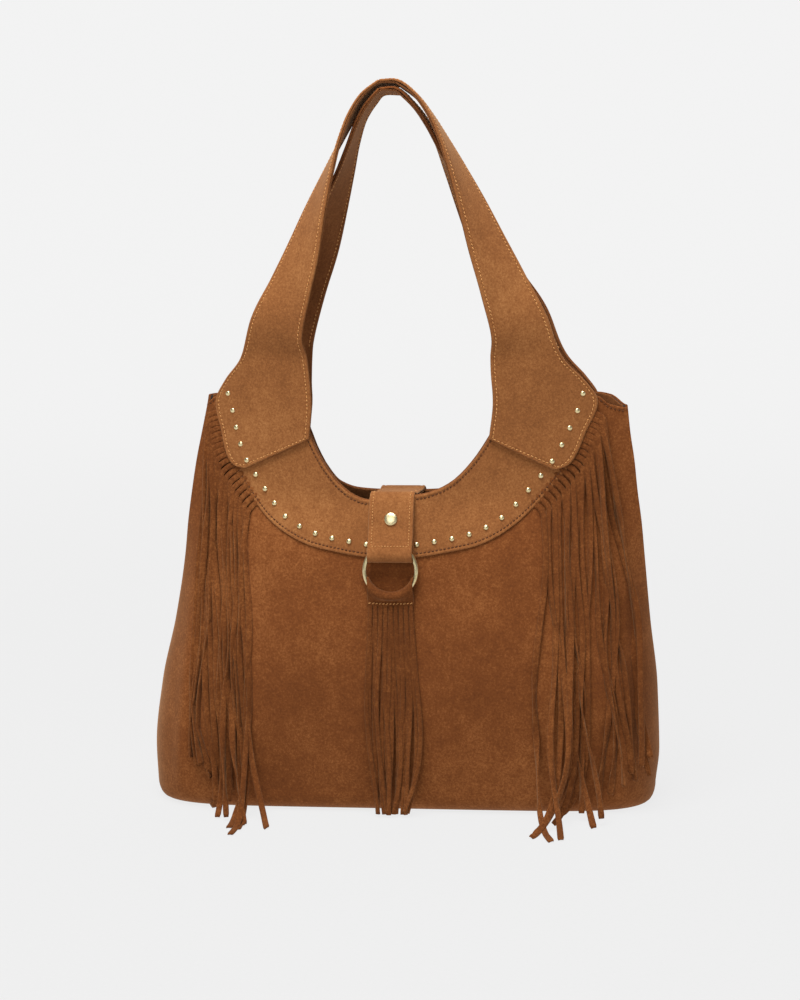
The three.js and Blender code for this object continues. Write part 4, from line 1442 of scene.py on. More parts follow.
@dataclass
class Handle:
    """One handle: two halves, each of an outer and a backing ply, lapped at the top."""

    form: BagForm
    finishes: Finishes
    face: Face
    end_rows: tuple = (  # inner x, inner z, outer x, outer z, from the sewn end upwards
        (68.3, 283, 117, 259),
        (68.35, 284.2, 122.5, 259.6),
        (68.4, 286, 127.5, 261.5),
        (68.45, 288.4, 131, 265.2),
        (68.5, 291, 133.5, 270),
        (68.7, 301, 138.5, 285),
        (69, 318, 145, 311),
        (69, 329, 136.5, 325),
        (69.5, 343, 123, 341),
    )
    loop_rows: tuple = (  # height, centre x of front and of rear, distance out, width, turn
        (366, 91.5, 90, 22, 44, 14),
        (396, 80.5, 77, 20.5, 38, 26),
        (426, 69, 63, 18, 34, 38),
        (456, 58.5, 50.5, 14.5, 31, 55),
        (484, 47.5, 39.5, 10.5, 29, 72),
        (506, 38, 31.5, 7, 28, 84),
        (524, 28.5, 24, 4, 27.5, 90),
        (537, 19, 15.5, 1.5, 27, 91),
    )
    rear_inner: float = 76.0  # the rear handle is sewn a little further out
    top: dict = field(default_factory=lambda: {Face.FRONT: 546.5, Face.REAR: 540.5})
    top_width: float = 27.0
    top_tilt: float = 0.17  # both bands tip a little at the top, where a hand carries them
    top_turn: float = 60.0  # turn from which they tip
    sewn_top: float = 350.0  # height up to which a half lies on the bag
    free_backing: float = 345.0  # height from which the backing is stitched by itself
    lap: float = 6.0
    rows: int = 150
    hem: tuple[float, ...] = HEM
    inner: int = 7
    stitch_line: float = 2.6
    stitch_row: float = 2.8  # the row of the mesh beside the stitch line
    cup: float = 0.9

    def stations(self, long: bool) -> list[tuple[Array, Array]]:
        """Inner and outer edge points of the free part on the +X side, bottom to top.

        Args:
            long: Whether the ply reaches over the lap.

        Returns:
            Pairs of points.
        """
        low, front_top = self.loop_rows[0][0], self.top[Face.FRONT]
        squash = (self.top[self.face] - low) / (front_top - low)
        column = 1 if self.face is Face.FRONT else 2
        middles = [np.array([r[column], -r[3], low + (r[0] - low) * squash]) for r in self.loop_rows]
        widths = [r[4] for r in self.loop_rows]
        turns = [r[5] for r in self.loop_rows]
        for x in [self.lap + GAP, -self.lap] if long else [self.lap + GAP]:
            middles.append(np.array([x, 0.0, self.top[self.face]]))
            widths.append(self.top_width)
            turns.append(90)
        found = []
        for k, middle in enumerate(middles):
            along = unit(middles[min(k + 1, len(middles) - 1)] - middles[max(k - 1, 0)])
            if middle[1] == 0.0:
                along = np.array([-1.0, 0.0, 0.0])
            turn = math.radians(turns[k])
            tip = self.top_tilt * self.face.value * max(0.0, (turns[k] - self.top_turn) / 30) ** 2
            across = np.array([math.cos(turn), math.sin(turn), tip])
            across = unit(across - along * np.dot(across, along))
            found.append((middle - across * widths[k] / 2, middle + across * widths[k] / 2))
        return found

    def edges(self, side: Side, long: bool) -> tuple[Array, Array]:
        """Inner and outer edge lines in the middle of the two plies, with matching points.

        Args:
            side: Which half.
            long: Whether the ply reaches over the lap.

        Returns:
            The two lines.
        """
        sign = side.value
        near, far = [], []
        for ix, iz, ox, oz in self.end_rows:
            inner = ix if self.face is Face.FRONT else max(ix, self.rear_inner - max(0, iz - 318) * 0.12)
            for line, x, z in ((near, inner, iz), (far, ox, oz)):
                leaned = sign * x + float(self.form.lean_at(np.array(z)))
                spot = self.form.at(np.array(leaned), np.array(z), PLIES_MIDDLE, Face.FRONT)
                line.append(np.array([x, spot[1], spot[2]]))
        for a, b in self.stations(long):
            near.append(a)
            far.append(b)
        near, far = np.array(near), np.array(far)
        key = run_of((near + far) / 2)
        sewn = key[0] + np.array(self.hem)
        rest = np.linspace(key[0] + 5, key[-1], self.rows)
        even = np.unique(np.concatenate([sewn, rest]))
        return through(near, key, even), through(far, key, even)

    def grid(self, side: Side, long: bool) -> tuple[Array, Array]:
        """Middle surface of a half's two plies and the distance of each point to its sewn edges.

        Args:
            side: Which half.
            long: Whether the ply reaches over the lap.

        Returns:
            The points and the distances.
        """
        near, far = self.edges(side, long)
        rows, nearest = [], []
        up = run_of((near + far) / 2)
        for k, (a, b) in enumerate(zip(near, far)):
            length = float(np.linalg.norm(b - a))
            steps = edge_steps(length, self.hem, self.inner)
            row = a + (b - a) * (steps / length)[:, None]
            lying = np.clip((self.sewn_top - row[:, 2]) / 16, 0, 1)[:, None]
            leaned = side.value * row[:, 0] + self.form.lean_at(row[:, 2])
            resting = self.form.at(leaned, row[:, 2], PLIES_MIDDLE, Face.FRONT)
            resting[:, 0] = row[:, 0]
            rows.append(row * (1 - lying) + resting * lying)
            nearest.append(np.minimum(np.minimum(steps, length - steps), up[k]))
        grid = np.array(rows)
        normal = grid_normals(grid)
        normal *= -np.sign(normal[4, :, 1].mean())
        free = np.clip((grid[..., 2:] - self.sewn_top) / 60, 0, 1)
        across = np.linspace(-1, 1, grid.shape[1])[None, :, None]
        bowed = (grid + normal * self.cup * free * (1 - across**2)) * [side.value, 1, 1]
        bowed[..., 0] += self.form.lean_at(bowed[..., 2])
        return bowed, np.array(nearest)

    def build_half(self, side: Side, layer: Layer, thread: Shell) -> Object:
        """One ply of one half, with its stitches.

        Args:
            side: Which half.
            layer: Which ply.
            thread: Where the stitches are added.

        Returns:
            The ply.
        """
        long = (side is Side.RIGHT) == (layer is Layer.OUTER)
        grid, nearest = self.grid(side, long)
        normal = grid_normals(grid)
        normal *= -np.sign(normal[4, :, 1].mean())
        low, high = (lift - PLIES_MIDDLE for lift in layer.value)
        swell = hem_swell(nearest, self.stitch_line)[..., None]
        top, bottom = grid + normal * high, grid + normal * low
        if layer is Layer.OUTER:
            top = top + normal * swell
        else:
            bottom = bottom - normal * swell
        flip = np.array([1, -self.face.value, 1])
        shell = Shell()
        shell.add(*sheet(top * flip, bottom * flip))
        face, where = self.face.name.lower(), side.name.lower()
        node = f"{face}_handle_{where}" + ("" if layer is Layer.OUTER else "_backing")
        front = self.face is Face.FRONT
        finish = self.finishes.suede_upper if front else self.finishes.suede
        if layer is Layer.BACKING:
            finish = self.finishes.suede_backing
        piece = shell.make(f"{node}_suede", finish)
        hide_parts(node)
        self.sew(thread, top if layer is Layer.OUTER else bottom, normal, layer, flip)
        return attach(piece, "bag")

    def sew(self, thread: Shell, skin: Array, normal: Array, layer: Layer, flip: Array) -> None:
        """Stitches along both long edges, and across the sewn end of the outer ply.

        Args:
            thread: Where the stitches are added.
            skin: Points of the sewn face.
            normal: Outward directions.
            layer: Which ply.
            flip: Turns the front handle into the rear one.
        """
        line = self.hem.index(self.stitch_row)
        sign = 1 if layer is Layer.OUTER else -1
        free = 0 if layer is Layer.OUTER else int(np.argmax(skin[:, 0, 2] > self.free_backing))
        seat = np.where(np.arange(len(skin)) >= free)[0]
        for column in (line, skin.shape[1] - 1 - line):
            rows = seat[seat >= (line if layer is Layer.OUTER else 0)]
            Stitching().sew(thread, skin[rows, column] * flip, sign * normal[rows, column] * flip)
        if layer is Layer.OUTER:
            columns = np.arange(line, skin.shape[1] - line)
            Stitching().sew(thread, skin[line, columns] * flip, normal[line, columns] * flip)

    def build(self) -> None:
        """Makes both halves and their stitches."""
        thread = Shell()
        for side in Side:
            for layer in Layer:
                self.build_half(side, layer, thread)
        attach(thread.make(f"{self.face.name.lower()}_handle_stitches", self.finishes.thread), "bag")


# ---- Strands ----


@dataclass
class StrandBundle:
    """Cut strands that hang, lie against each other, the bag and the floor, and keep their length."""

    form: BagForm
    width: float
    thickness: float
    clearance: float
    steps: int = 260
    links: int = 58
    pinned: int = 4
    floor: float = 1.6
    weight: float = 0.32
    stiffness: float = 0.34
    lane_hold: float = 0.014
    spread: tuple[float, float] = (4.9, 2.7)  # room that a strand takes across and through
    reach: float = 3.0  # and along
    neighbours: int = 7  # strands that can meet are fewer than this apart
    clear_ends: int = 3  # links at both ends that aren't pushed
    shove: float = 0.22
    open_side: float = 60.0  # how far back a strand may hang beside the bag
    cup: float = 0.28
    cut_edge: float = 0.18

    def settle(self, lines: Array, angles: Array, push: Array) -> Array:
        """Lets the strands fall into place.

        Args:
            lines: Starting points by strand and link.
            angles: Direction of each strand's width from +X, in radians, by strand and link.
            push: Sideways push by strand and link, which curls them.

        Returns:
            Settled points by strand and link.
        """
        p = lines.copy()
        length = np.linalg.norm(np.diff(lines, axis=1), axis=2)
        for step in range(self.steps):
            ease = 1 - step / self.steps
            p[:, self.pinned :, 2] -= self.weight
            p[:, self.pinned :, :2] += push[:, self.pinned :] * (0.1 + 0.3 * ease)
            drift = lines[:, self.pinned :, 0] - p[:, self.pinned :, 0]
            p[:, self.pinned :, 0] += self.lane_hold * drift
            if step % 2 == 0:
                self.part(p, angles)
            for _ in range(3):
                self.keep_length(p, length)
                bent = (p[:, :-2] + p[:, 2:]) / 2 - p[:, 1:-1]
                p[:, self.pinned : -1] += self.stiffness * bent[:, self.pinned - 1 :]
            self.keep_out(p)
        for _ in range(6):
            self.keep_length(p, length)
            self.keep_out(p)
        return p

    def keep_length(self, p: Array, length: Array) -> None:
        """Pulls each link back to its length from the root downwards.

        Args:
            p: Points, which are moved.
            length: Length of each link.
        """
        for k in range(self.pinned, p.shape[1]):
            along = p[:, k] - p[:, k - 1]
            p[:, k] = p[:, k - 1] + unit(along) * length[:, k - 1 : k]

    def keep_out(self, p: Array) -> None:
        """Moves points out of the bag and the floor.

        Args:
            p: Points, which are moved.
        """
        free = p[:, self.pinned :]
        z = np.maximum(free[..., 2], self.floor)
        free[..., 2] = z
        above = np.maximum(z, self.form.rows[0][0])
        skin = self.form.at(free[..., 0], above, self.clearance, Face.FRONT)[..., 1]
        low = np.clip((self.form.roll - z) / self.form.roll, 0, 1)
        inset = self.form.roll * (1 - np.sqrt(np.maximum(0, 1 - low**2)))
        inside = np.abs(free[..., 0]) < self.form.half_wide(free[..., 0], z) + self.clearance
        limit = np.where(inside, skin + inset * 0.6, self.open_side)
        free[..., 1] = np.minimum(free[..., 1], limit)

    def part(self, p: Array, angles: Array) -> None:
        """Pushes apart strands that press into each other at the same height.

        Args:
            p: Points, which are moved.
            angles: Direction of each strand's width.
        """
        count = p.shape[0]
        wide, deep = self.spread
        for shift in (-2, -1, 0, 1, 2):
            start, stop = self.pinned + self.clear_ends, p.shape[1] - self.clear_ends
            a, b = slice(start, stop), slice(start + shift, stop + shift)
            for i in range(count - 1):
                for j in range(i + 1, min(count, i + self.neighbours)):
                    gap = p[j, b] - p[i, a]
                    mean = (angles[i, a] + angles[j, b]) / 2
                    along = gap[:, 0] * np.cos(mean) + gap[:, 1] * np.sin(mean)
                    out = -gap[:, 0] * np.sin(mean) + gap[:, 1] * np.cos(mean)
                    near = np.sqrt((along / wide) ** 2 + (out / deep) ** 2 + (gap[:, 2] / self.reach) ** 2)
                    press = np.clip(1 - near, 0, 1)
                    sign = np.where(out >= 0, 1.0, -1.0)
                    shove = self.shove * press * deep * sign
                    move = np.stack([-np.sin(mean) * shove, np.cos(mean) * shove], axis=1)
                    p[i, a, :2] -= move
                    p[j, b, :2] += move

    def section(self, width: float) -> Array:
        """Section of a cut strand: flat, a little cupped, with cut edges.

        Args:
            width: Its width.

        Returns:
            Points across and out.
        """
        half, thick, cup = width / 2, self.thickness / 2, self.cup
        top = [(half * s, thick - cup * s * s) for s in (1.0, 0.55, 0.0, -0.55, -1.0)]
        under = [(half * s, -thick - cup * s * s) for s in (-1.0, -0.55, 0.0, 0.55, 1.0)]
        rim = [(-half - self.cut_edge, -cup)]
        other = [(half + self.cut_edge, -cup)]
        return np.array(top + rim + under + other)

    def skin(self, line: Array, twist: Array, width: Array, start: Array) -> Mesh:
        """Closed strip along a line.

        Args:
            line: Points of its middle.
            twist: Turn about its length at each point, in radians.
            width: Width at each point.
            start: Outward direction of its face at the root.

        Returns:
            Vertices and faces.
        """
        along = unit(np.gradient(line, axis=0))
        out = start
        rings = []
        for k in range(len(line)):
            out = unit(out - along[k] * np.dot(out, along[k]))
            across = np.cross(out, along[k])
            c, s = math.cos(twist[k]), math.sin(twist[k])
            a, o = across * c + out * s, out * c - across * s
            flat = self.section(width[k])
            rings.append(line[k] + flat[:, :1] * a + flat[:, 1:] * o)
        return loft(np.array(rings))


@dataclass
class SideFringe:
    """One fringe: a header sewn under the yoke's edge and its cut strands."""

    form: BagForm
    finishes: Finishes
    yoke: Yoke
    side: Side
    first_lane: float
    last_lane: float
    turn: float
    strands: int = 18
    width: float = 4.5
    thickness: float = 1.1
    length: float = 286.0
    root_top: float = 300.0
    root_bottom: float = 233.0
    header_width: float = 14.0
    header_lift: float = 0.6
    header_thick: float = 0.5
    flat: tuple[float, float] = (100.0, 300.0)  # what the fringe is cut from

    def edge(self, height: float) -> tuple[Array, Array]:
        """Point of the yoke's outer edge on the +X side and its outward direction, in x and z.

        Args:
            height: Height of the point.

        Returns:
            The point and the direction.
        """
        line = self.yoke.lower()
        half = line[line[:, 0] * self.side.value > 40]
        order = np.argsort(half[:, 1])
        z, x = half[order, 1], np.abs(half[order, 0])
        here = float(np.interp(height, z, x))
        run = float(np.interp(height + 5, z, x) - np.interp(height - 5, z, x))
        outward = unit(np.array([10.0, -run]))
        return np.array([here, height]), outward

    def start_line(self, share: float, lane_shift: float, depth: float) -> Array:
        """First guess of a strand's path: out from the edge, over the side and down.

        Args:
            share: Place of the strand, from 0 at the top to 1.
            lane_shift: How far its hanging line is moved across.
            depth: How far it hangs out from the bag.

        Returns:
            Points from the root to the tip.
        """
        sign = self.side.value
        lane = self.first_lane + (self.last_lane - self.first_lane) * share + lane_shift
        root, outward = self.edge(self.root_top + (self.root_bottom - self.root_top) * share)
        inside = root - outward * 5
        leave = root + outward * 4
        bend = leave + outward * 5.5 + np.array([0.0, -2.5])
        hang = np.array([bend[0] + 1.5, bend[1] - 13.0])
        flat = [inside, root, leave, bend, hang]
        for z in (225, 190, 165, 130, 90, 50, 14):
            if z < hang[1] - 14:
                share_down = min(1.0, (hang[1] - z) / max(hang[1] - 165, 1.0))
                flat.append(np.array([hang[0] + (lane - hang[0]) * share_down, z]))
        path = smooth_line(np.array(flat), 90)
        lift = np.interp(run_of(path), [0, 12, 40, 400], [1.15, 1.4, 3.4 + depth, 4.0 + depth])
        points = self.form.at(sign * path[:, 0], path[:, 1], lift, Face.FRONT)
        points[:, 1] = np.minimum.accumulate(points[:, 1])
        foot = points[-1]
        turns = (0.5, 1.0, 1.5)  # what is too long for the drop turns out over the floor
        tail = [foot + np.array([0, -12 * (1 - math.cos(a)), -11.5 * math.sin(a)]) for a in turns]
        tail += [tail[-1] + np.array([0, -d, 0.0]) for d in (20, 60, 120)]
        return np.concatenate([points, np.array(tail)])

    def cut(self, line: Array, links: int, length: float) -> Array:
        """The first `length` of a line, in even links.

        Args:
            line: Points of the line.
            links: How many points to return.
            length: How much of it is kept.

        Returns:
            The points.
        """
        run = run_of(line)
        want = np.linspace(0, min(length, run[-1]), links)
        return np.stack([np.interp(want, run, line[:, k]) for k in range(3)], axis=1)

    def band(self, shell: Shell) -> None:
        """Header under the yoke, from which the strands are cut.

        Args:
            shell: Where it is added.
        """
        rows = []
        for height in np.linspace(self.root_top + 2, self.root_bottom - 2, 30):
            spot, outward = self.edge(float(height))
            steps = np.linspace(-self.header_width, 1.2, 8)
            flat = spot + outward * steps[:, None]
            x = self.side.value * flat[:, 0]
            rows.append(self.form.at(x, flat[:, 1], self.header_lift, Face.FRONT))
        shell.add(*ply(np.array(rows), self.header_thick))

    def build(self) -> Object:
        """Makes the fringe.

        Returns:
            The fringe.
        """
        rng = np.random.default_rng(SEED + self.side.value)
        bundle = StrandBundle(self.form, self.width, self.thickness, clearance=2.0)
        count, links = self.strands, bundle.links
        lengths = self.length - 9 + rng.uniform(-8, 6, count)  # cut unevenly, 3 to 17 short
        lines = []
        for k in range(count):
            line = self.start_line(k / (count - 1), rng.uniform(-7.0, 7.0), rng.uniform(0.0, 12.0))
            lines.append(self.cut(line, links, lengths[k]))
        lines = np.array(lines)
        t = np.linspace(0, 1, links)
        turn = math.radians(self.turn) * self.side.value
        ramp = np.clip((t - 0.035) / 0.13, 0, 1) ** 1.4
        wander = rng.uniform(-1, 1, (count, 3))
        waves = np.stack([np.sin(math.tau * t * f + q) for f, q in ((0.8, 0.4), (1.7, 2.0), (2.9, 4.1))])
        twist = ramp * (turn * rng.uniform(0.1, 1.3, (count, 1)) + 0.8 * wander @ waves * t**0.5)
        phase = rng.uniform(0, math.tau, (count, 4))
        bow = rng.uniform(0.35, 1.0, (count, 2))
        sway = bow[:, :1] * np.sin(math.tau * t * 1.15 + phase[:, :1])
        sway += 0.55 * np.sin(math.tau * t * 2.3 + phase[:, 1:2])
        poke = bow[:, 1:] * np.sin(math.tau * t + phase[:, 2:3])
        poke += 0.4 * np.sin(math.tau * t * 2.1 + phase[:, 3:])
        push = np.stack([sway, poke * 0.5], axis=2) * (0.25 + 0.75 * t)[None, :, None] * 1.25
        settled = bundle.settle(lines, twist, push)
        shell = Shell()
        self.band(shell)
        for k in range(count):
            fine = smooth_line(settled[k], 110)
            s = np.linspace(0, 1, len(fine))
            lying = np.clip((fine[:, 2] - 3) / 16, 0.0, 1)
            turned = np.interp(s, t, twist[k]) * lying
            ripple = 1 + 0.07 * np.sin(math.tau * s * 3 + phase[k, 0])
            width = self.width * ripple * np.where(s > 0.992, 0.8, 1.0)
            width *= 0.86 + 0.14 * np.clip((s - 0.1) / 0.15, 0, 1)
            root = fine[0]
            start = self.form.normal(float(root[0]), float(root[2]), self.header_lift, Face.FRONT)
            shell.add(*bundle.skin(fine, turned, width, start))
        name = self.side.name.lower()
        piece = shell.make(f"{name}_fringe_strands", self.finishes.suede_strands_and_shade)
        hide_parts(f"{name}_fringe")
        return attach(piece, "bag")


# ---- Tab, snap, ring and tassel ----


@dataclass
class ClosingTab:
    """Strap sewn to the rear yoke that crosses the mouth, folds round the ring and snaps shut."""

    form: BagForm
    finishes: Finishes
    width: float = 33.2
    rear_end: float = 206.0
    fold_bottom: float = 192.9
    cavity: float = 9.0
    stand_off: float = 0.4
    snap_height: float = 222.5
    snap_lift: float = 3.6
    yoke_top: float = 1.8
    sink: float = 0.6  # how far the crossing hangs below the mouth's rear edge
    mouth_gap: float = 58.0  # from the mouth's rear edge to the front one
    hem: tuple[float, ...] = (0.0, 0.4, 1.0, 1.6, 2.1, 2.6, 3.2, 4.2)
    stitch_line: float = 2.4
    stitch_row: float = 2.6  # the row of the mesh beside the stitch line
    stitch_foot: float = 16.2  # from the snap down to the row across

    def yoke_face(self, height: float, offset: float, sign: int = -1) -> Array:
        """Outer face of the yoke in the middle plane, as y and z, with an outward offset."""
        deep = float(self.form.half_deep(np.array(height)))
        return np.array([sign * (deep + GAP / 2 + self.yoke_top + offset), height])

    def offset(self, line: Array, distance: float) -> Array:
        """A line in the middle plane moved sideways to its left."""
        along = unit(np.gradient(line, axis=0))
        return line + np.stack([-along[:, 1], along[:, 0]], axis=1) * distance

    def middle_line(self) -> Array:
        """Middle of the strap, from the rear end over the mouth, round the ring and back.

        Returns:
            Points as y and z.
        """
        mid = PLY / 2
        top = float(self.form.mouth(np.array(0.0), Face.FRONT))
        rear_top = float(self.form.mouth(np.array(0.0), Face.REAR))
        snap, lift = self.snap_height, self.snap_lift
        ring_offset = self.stand_off + PLY + self.cavity / 2
        crossing = [
            np.array([y, rear_top - self.sink + mid + (top - rear_top) * (0.5 - y / self.mouth_gap)])
            for y in (20, 7, -7, -20)
        ]
        bed = [
            self.yoke_face(self.rear_end, GAP + mid, 1),
            self.yoke_face(rear_top - 8, GAP + mid, 1),
            self.yoke_face(rear_top - 1, 1 + mid, 1),
            self.yoke_face(rear_top + 0.5 + mid, -1.0, 1),
            *crossing,
            self.yoke_face(top + 1.2 + mid, -1.0),
            self.yoke_face(top - 1, 1 + mid),
            self.yoke_face(snap + 6.5, lift + mid),
            self.yoke_face(snap - 6, lift + mid),
        ]
        cover = self.offset(self.dense(np.array(bed)), -PLY - GAP)[::-1]
        centre = self.yoke_face(self.fold_bottom + ring_offset - self.stand_off, ring_offset)
        radius = (self.cavity + PLY) / 2
        fold = [
            centre + radius * np.array([math.cos(math.radians(a)), -math.sin(math.radians(a))])
            for a in range(0, 181, 20)
        ]
        foot = [self.yoke_face(snap - 11.5, self.stand_off + mid)]
        bulge = [
            self.yoke_face(float(centre[1]) + 4, ring_offset + radius - 0.3),
            self.yoke_face(snap - 15.0, ring_offset + radius - 2.6),
        ]
        whole = np.concatenate([self.dense(np.array(bed)), foot, fold, bulge, cover])
        return self.ease(evenly(whole, 260))

    def dense(self, points: Array) -> Array:
        """Smooth line through a few points of the strap."""
        return smooth_line(points, 60)

    def ease(self, line: Array) -> Array:
        """Rounds small corners and keeps both ends.

        Args:
            line: Points of the line.

        Returns:
            The softer line.
        """
        soft = line.copy()
        for _ in range(6):
            soft[1:-1] += 0.5 * ((soft[:-2] + soft[2:]) / 2 - soft[1:-1])
        return soft

    def build(self) -> Object:
        """Makes the strap and its stitches.

        Returns:
            The stitches.
        """
        line = self.middle_line()
        across = edge_steps(self.width, self.hem, 8)
        nearest = np.minimum(across, self.width - across)
        x = across - self.width / 2
        swell = hem_swell(nearest, self.stitch_line, 0.28, 0.12)
        outer_line = self.offset(line, PLY / 2)
        inner_line = self.offset(line, -PLY / 2)
        away = unit(outer_line - inner_line)
        outer = np.array(
            [
                [(px, p[0] + a[0] * s, p[1] + a[1] * s) for px, s in zip(x, swell)]
                for p, a in zip(outer_line, away)
            ]
        )
        inner = np.array([[(px, p[0], p[1]) for px in x] for p in inner_line])
        shell = Shell()
        shell.add(*sheet(outer, inner))
        piece = shell.make("closing_tab_suede", self.finishes.suede_upper)
        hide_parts("closure_tab")
        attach(piece, "bag")
        return self.sew(outer, away)

    def sew(self, outer: Array, away: Array) -> Object:
        """Cream stitches down both sides of the cover and across above the fold.

        Args:
            outer: Points of the outer face.
            away: Outward direction of each row, as y and z.

        Returns:
            The stitches.
        """
        thread = Shell()
        normal = np.stack([0 * away[:, 0], away[:, 0], away[:, 1]], axis=1)
        cover = np.arange(len(outer) // 2, len(outer))
        front = cover[(outer[cover, 0, 2] > self.snap_height - 17) & (outer[cover, 0, 1] < 0)]
        small = Stitching(pitch=2.3, length=1.5, radius=0.4)
        line = self.hem.index(self.stitch_row)
        for column in (line, outer.shape[1] - 1 - line):
            small.sew(thread, outer[front, column], normal[front])
        level = front[np.argmin(np.abs(outer[front, 0, 2] - (self.snap_height - self.stitch_foot)))]
        columns = np.arange(line, outer.shape[1] - line)
        row = outer[level, columns]
        small.sew(thread, row, np.repeat(normal[level][None], len(row), axis=0))
        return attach(thread.make("closing_tab_stitches", self.finishes.thread), "bag")


@dataclass(frozen=True)
class RingForm:
    """The ring's wire as it hangs from the tab, leaning out over the bag's belly."""

    radius: float = 19.6
    wire: float = 1.6
    lean: float = math.radians(8)

    def hinge(self) -> Array:
        """Where the ring turns in the tab's fold."""
        return np.array(next(j for j in frame["joints"] if j["name"] == "ring_swing")["pos_m"]) / MM

    def drop(self) -> float:
        """How far below the hinge the ring's middle hangs."""
        low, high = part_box("ring")
        return self.hinge()[2] - (low.z + high.z) / 2 / MM


@dataclass
class Hardware:
    """Domed studs, the snap's cap and the ring."""

    form: BagForm
    finishes: Finishes
    stud_radius: float = 2.05
    stud_height: float = 1.5
    stud_seat: float = 0.1
    handle_lift: float = 5.2
    yoke_lift: float = 1.8
    cap_radius: float = 5.0
    cap_rise: float = 1.7
    ring_form: RingForm = RingForm()
    ring_steps: tuple[int, int] = (112, 24)

    def turned(self, profile: list[tuple[float, float]], steps: int, place: Array, axis: Array) -> Mesh:
        """Closed turned body from a profile of radius and height, from its foot to its crown.

        Args:
            profile: Radius and height, from the foot up.
            steps: Points round it.
            place: Its foot.
            axis: Direction of its height.

        Returns:
            Vertices and faces.
        """
        side = unit(np.cross(axis, [0.0, 0.0, 1.0]))
        other = np.cross(axis, side)
        angles = np.arange(steps) * math.tau / steps
        rings = [
            place + axis * h + r * (np.cos(angles)[:, None] * side + np.sin(angles)[:, None] * other)
            for r, h in profile
        ]
        return loft(np.array(rings))

    def dome(self, radius: float, height: float, rim: float) -> list[tuple[float, float]]:
        """Profile of a low dome with a rolled rim.

        Args:
            radius: Radius of the dome.
            height: Its height.
            rim: Height of its rim.

        Returns:
            Radius and height, from the foot up.
        """
        profile = [
            (radius * 0.7, -rim * 0.4),
            (radius * 0.96, 0.0),
            (radius, rim * 0.35),
            (radius * 0.985, rim * 0.8),
        ]
        for k in range(1, 9):
            angle = math.radians(90 * k / 9)
            profile.append((radius * 0.97 * math.cos(angle), rim + (height - rim) * math.sin(angle)))
        return profile + [(0.02, height)]

    def studs(self) -> None:
        """One dome at each stud."""
        for node in sorted(n for n in frame["nodes"] if n.startswith("stud_")):
            low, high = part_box(node)
            centre = (low + high) / 2 / MM
            lift = self.handle_lift if "handle" in node else self.yoke_lift
            x = centre.x + float(self.form.lean_at(np.array(centre.z)))
            at = self.form.at(np.array(x), np.array(centre.z), lift + self.stud_seat, Face.FRONT)
            axis = self.form.normal(x, centre.z, lift, Face.FRONT)
            shell = Shell()
            shell.add(*self.turned(self.dome(self.stud_radius, self.stud_height, 0.35), 28, at, axis))
            piece = shell.make(node.replace("stud_", "dome_stud_"), self.finishes.brass)
            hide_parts(node)
            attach(piece, "bag")

    def cap(self, tab: ClosingTab) -> Object:
        """Snap cap on the tab.

        Args:
            tab: The tab that it sits on.

        Returns:
            The cap.
        """
        foot = tab.yoke_face(tab.snap_height, 0.0)
        axis = self.form.normal(0.0, tab.snap_height, self.yoke_lift, Face.FRONT)
        over = tab.snap_lift * 0.95 + 2 * PLY + 2 * GAP - 0.25
        place = np.array([0.0, foot[0], foot[1]]) + axis * over
        shell = Shell()
        shell.add(*self.turned(self.dome(self.cap_radius, self.cap_rise, 0.7), 72, place, axis))
        piece = shell.make("snap_cap_dome", self.finishes.brass)
        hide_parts("snap_cap")
        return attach(piece, "bag")

    def ring(self) -> Object:
        """Round wire ring, where its CAD solid hangs.

        Returns:
            The ring.
        """
        radius, wire, lean = self.ring_form.radius, self.ring_form.wire, self.ring_form.lean
        down = np.array([0.0, -math.sin(lean), -math.cos(lean)])
        centre = self.ring_form.hinge() + down * self.ring_form.drop() / math.cos(lean)
        around, section = self.ring_steps
        points, faces = [], []
        outward = np.array([0.0, -math.cos(lean), math.sin(lean)])
        for k in range(around):
            a = math.tau * k / around
            spoke = np.array([math.cos(a), 0, 0]) + math.sin(a) * down
            for s in range(section):
                b = math.tau * s / section
                across = centre + spoke * (radius + wire * math.cos(b))
                points.append(across + outward * wire * math.sin(b))
        for k in range(around):
            for s in range(section):
                n, m = (k + 1) % around, (s + 1) % section
                faces.append((k * section + s, k * section + m, n * section + m, n * section + s))
        shell = Shell()
        shell.add(np.array(points), faces)
        piece = shell.make("ring_wire", self.finishes.brass)
        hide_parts("ring")
        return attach(piece, "ring")

    def build(self, tab: ClosingTab) -> None:
        """Makes the metal parts and finishes those kept from the frame.

        Args:
            tab: The tab that the snap closes.
        """
        self.studs()
        self.cap(tab)
        self.ring()
        for node in ("snap_socket", "snap_stud", "snap_washer"):
            kept = frame["nodes"][node]
            kept.data.materials.clear()
            kept.data.materials.append(self.finishes.brass)


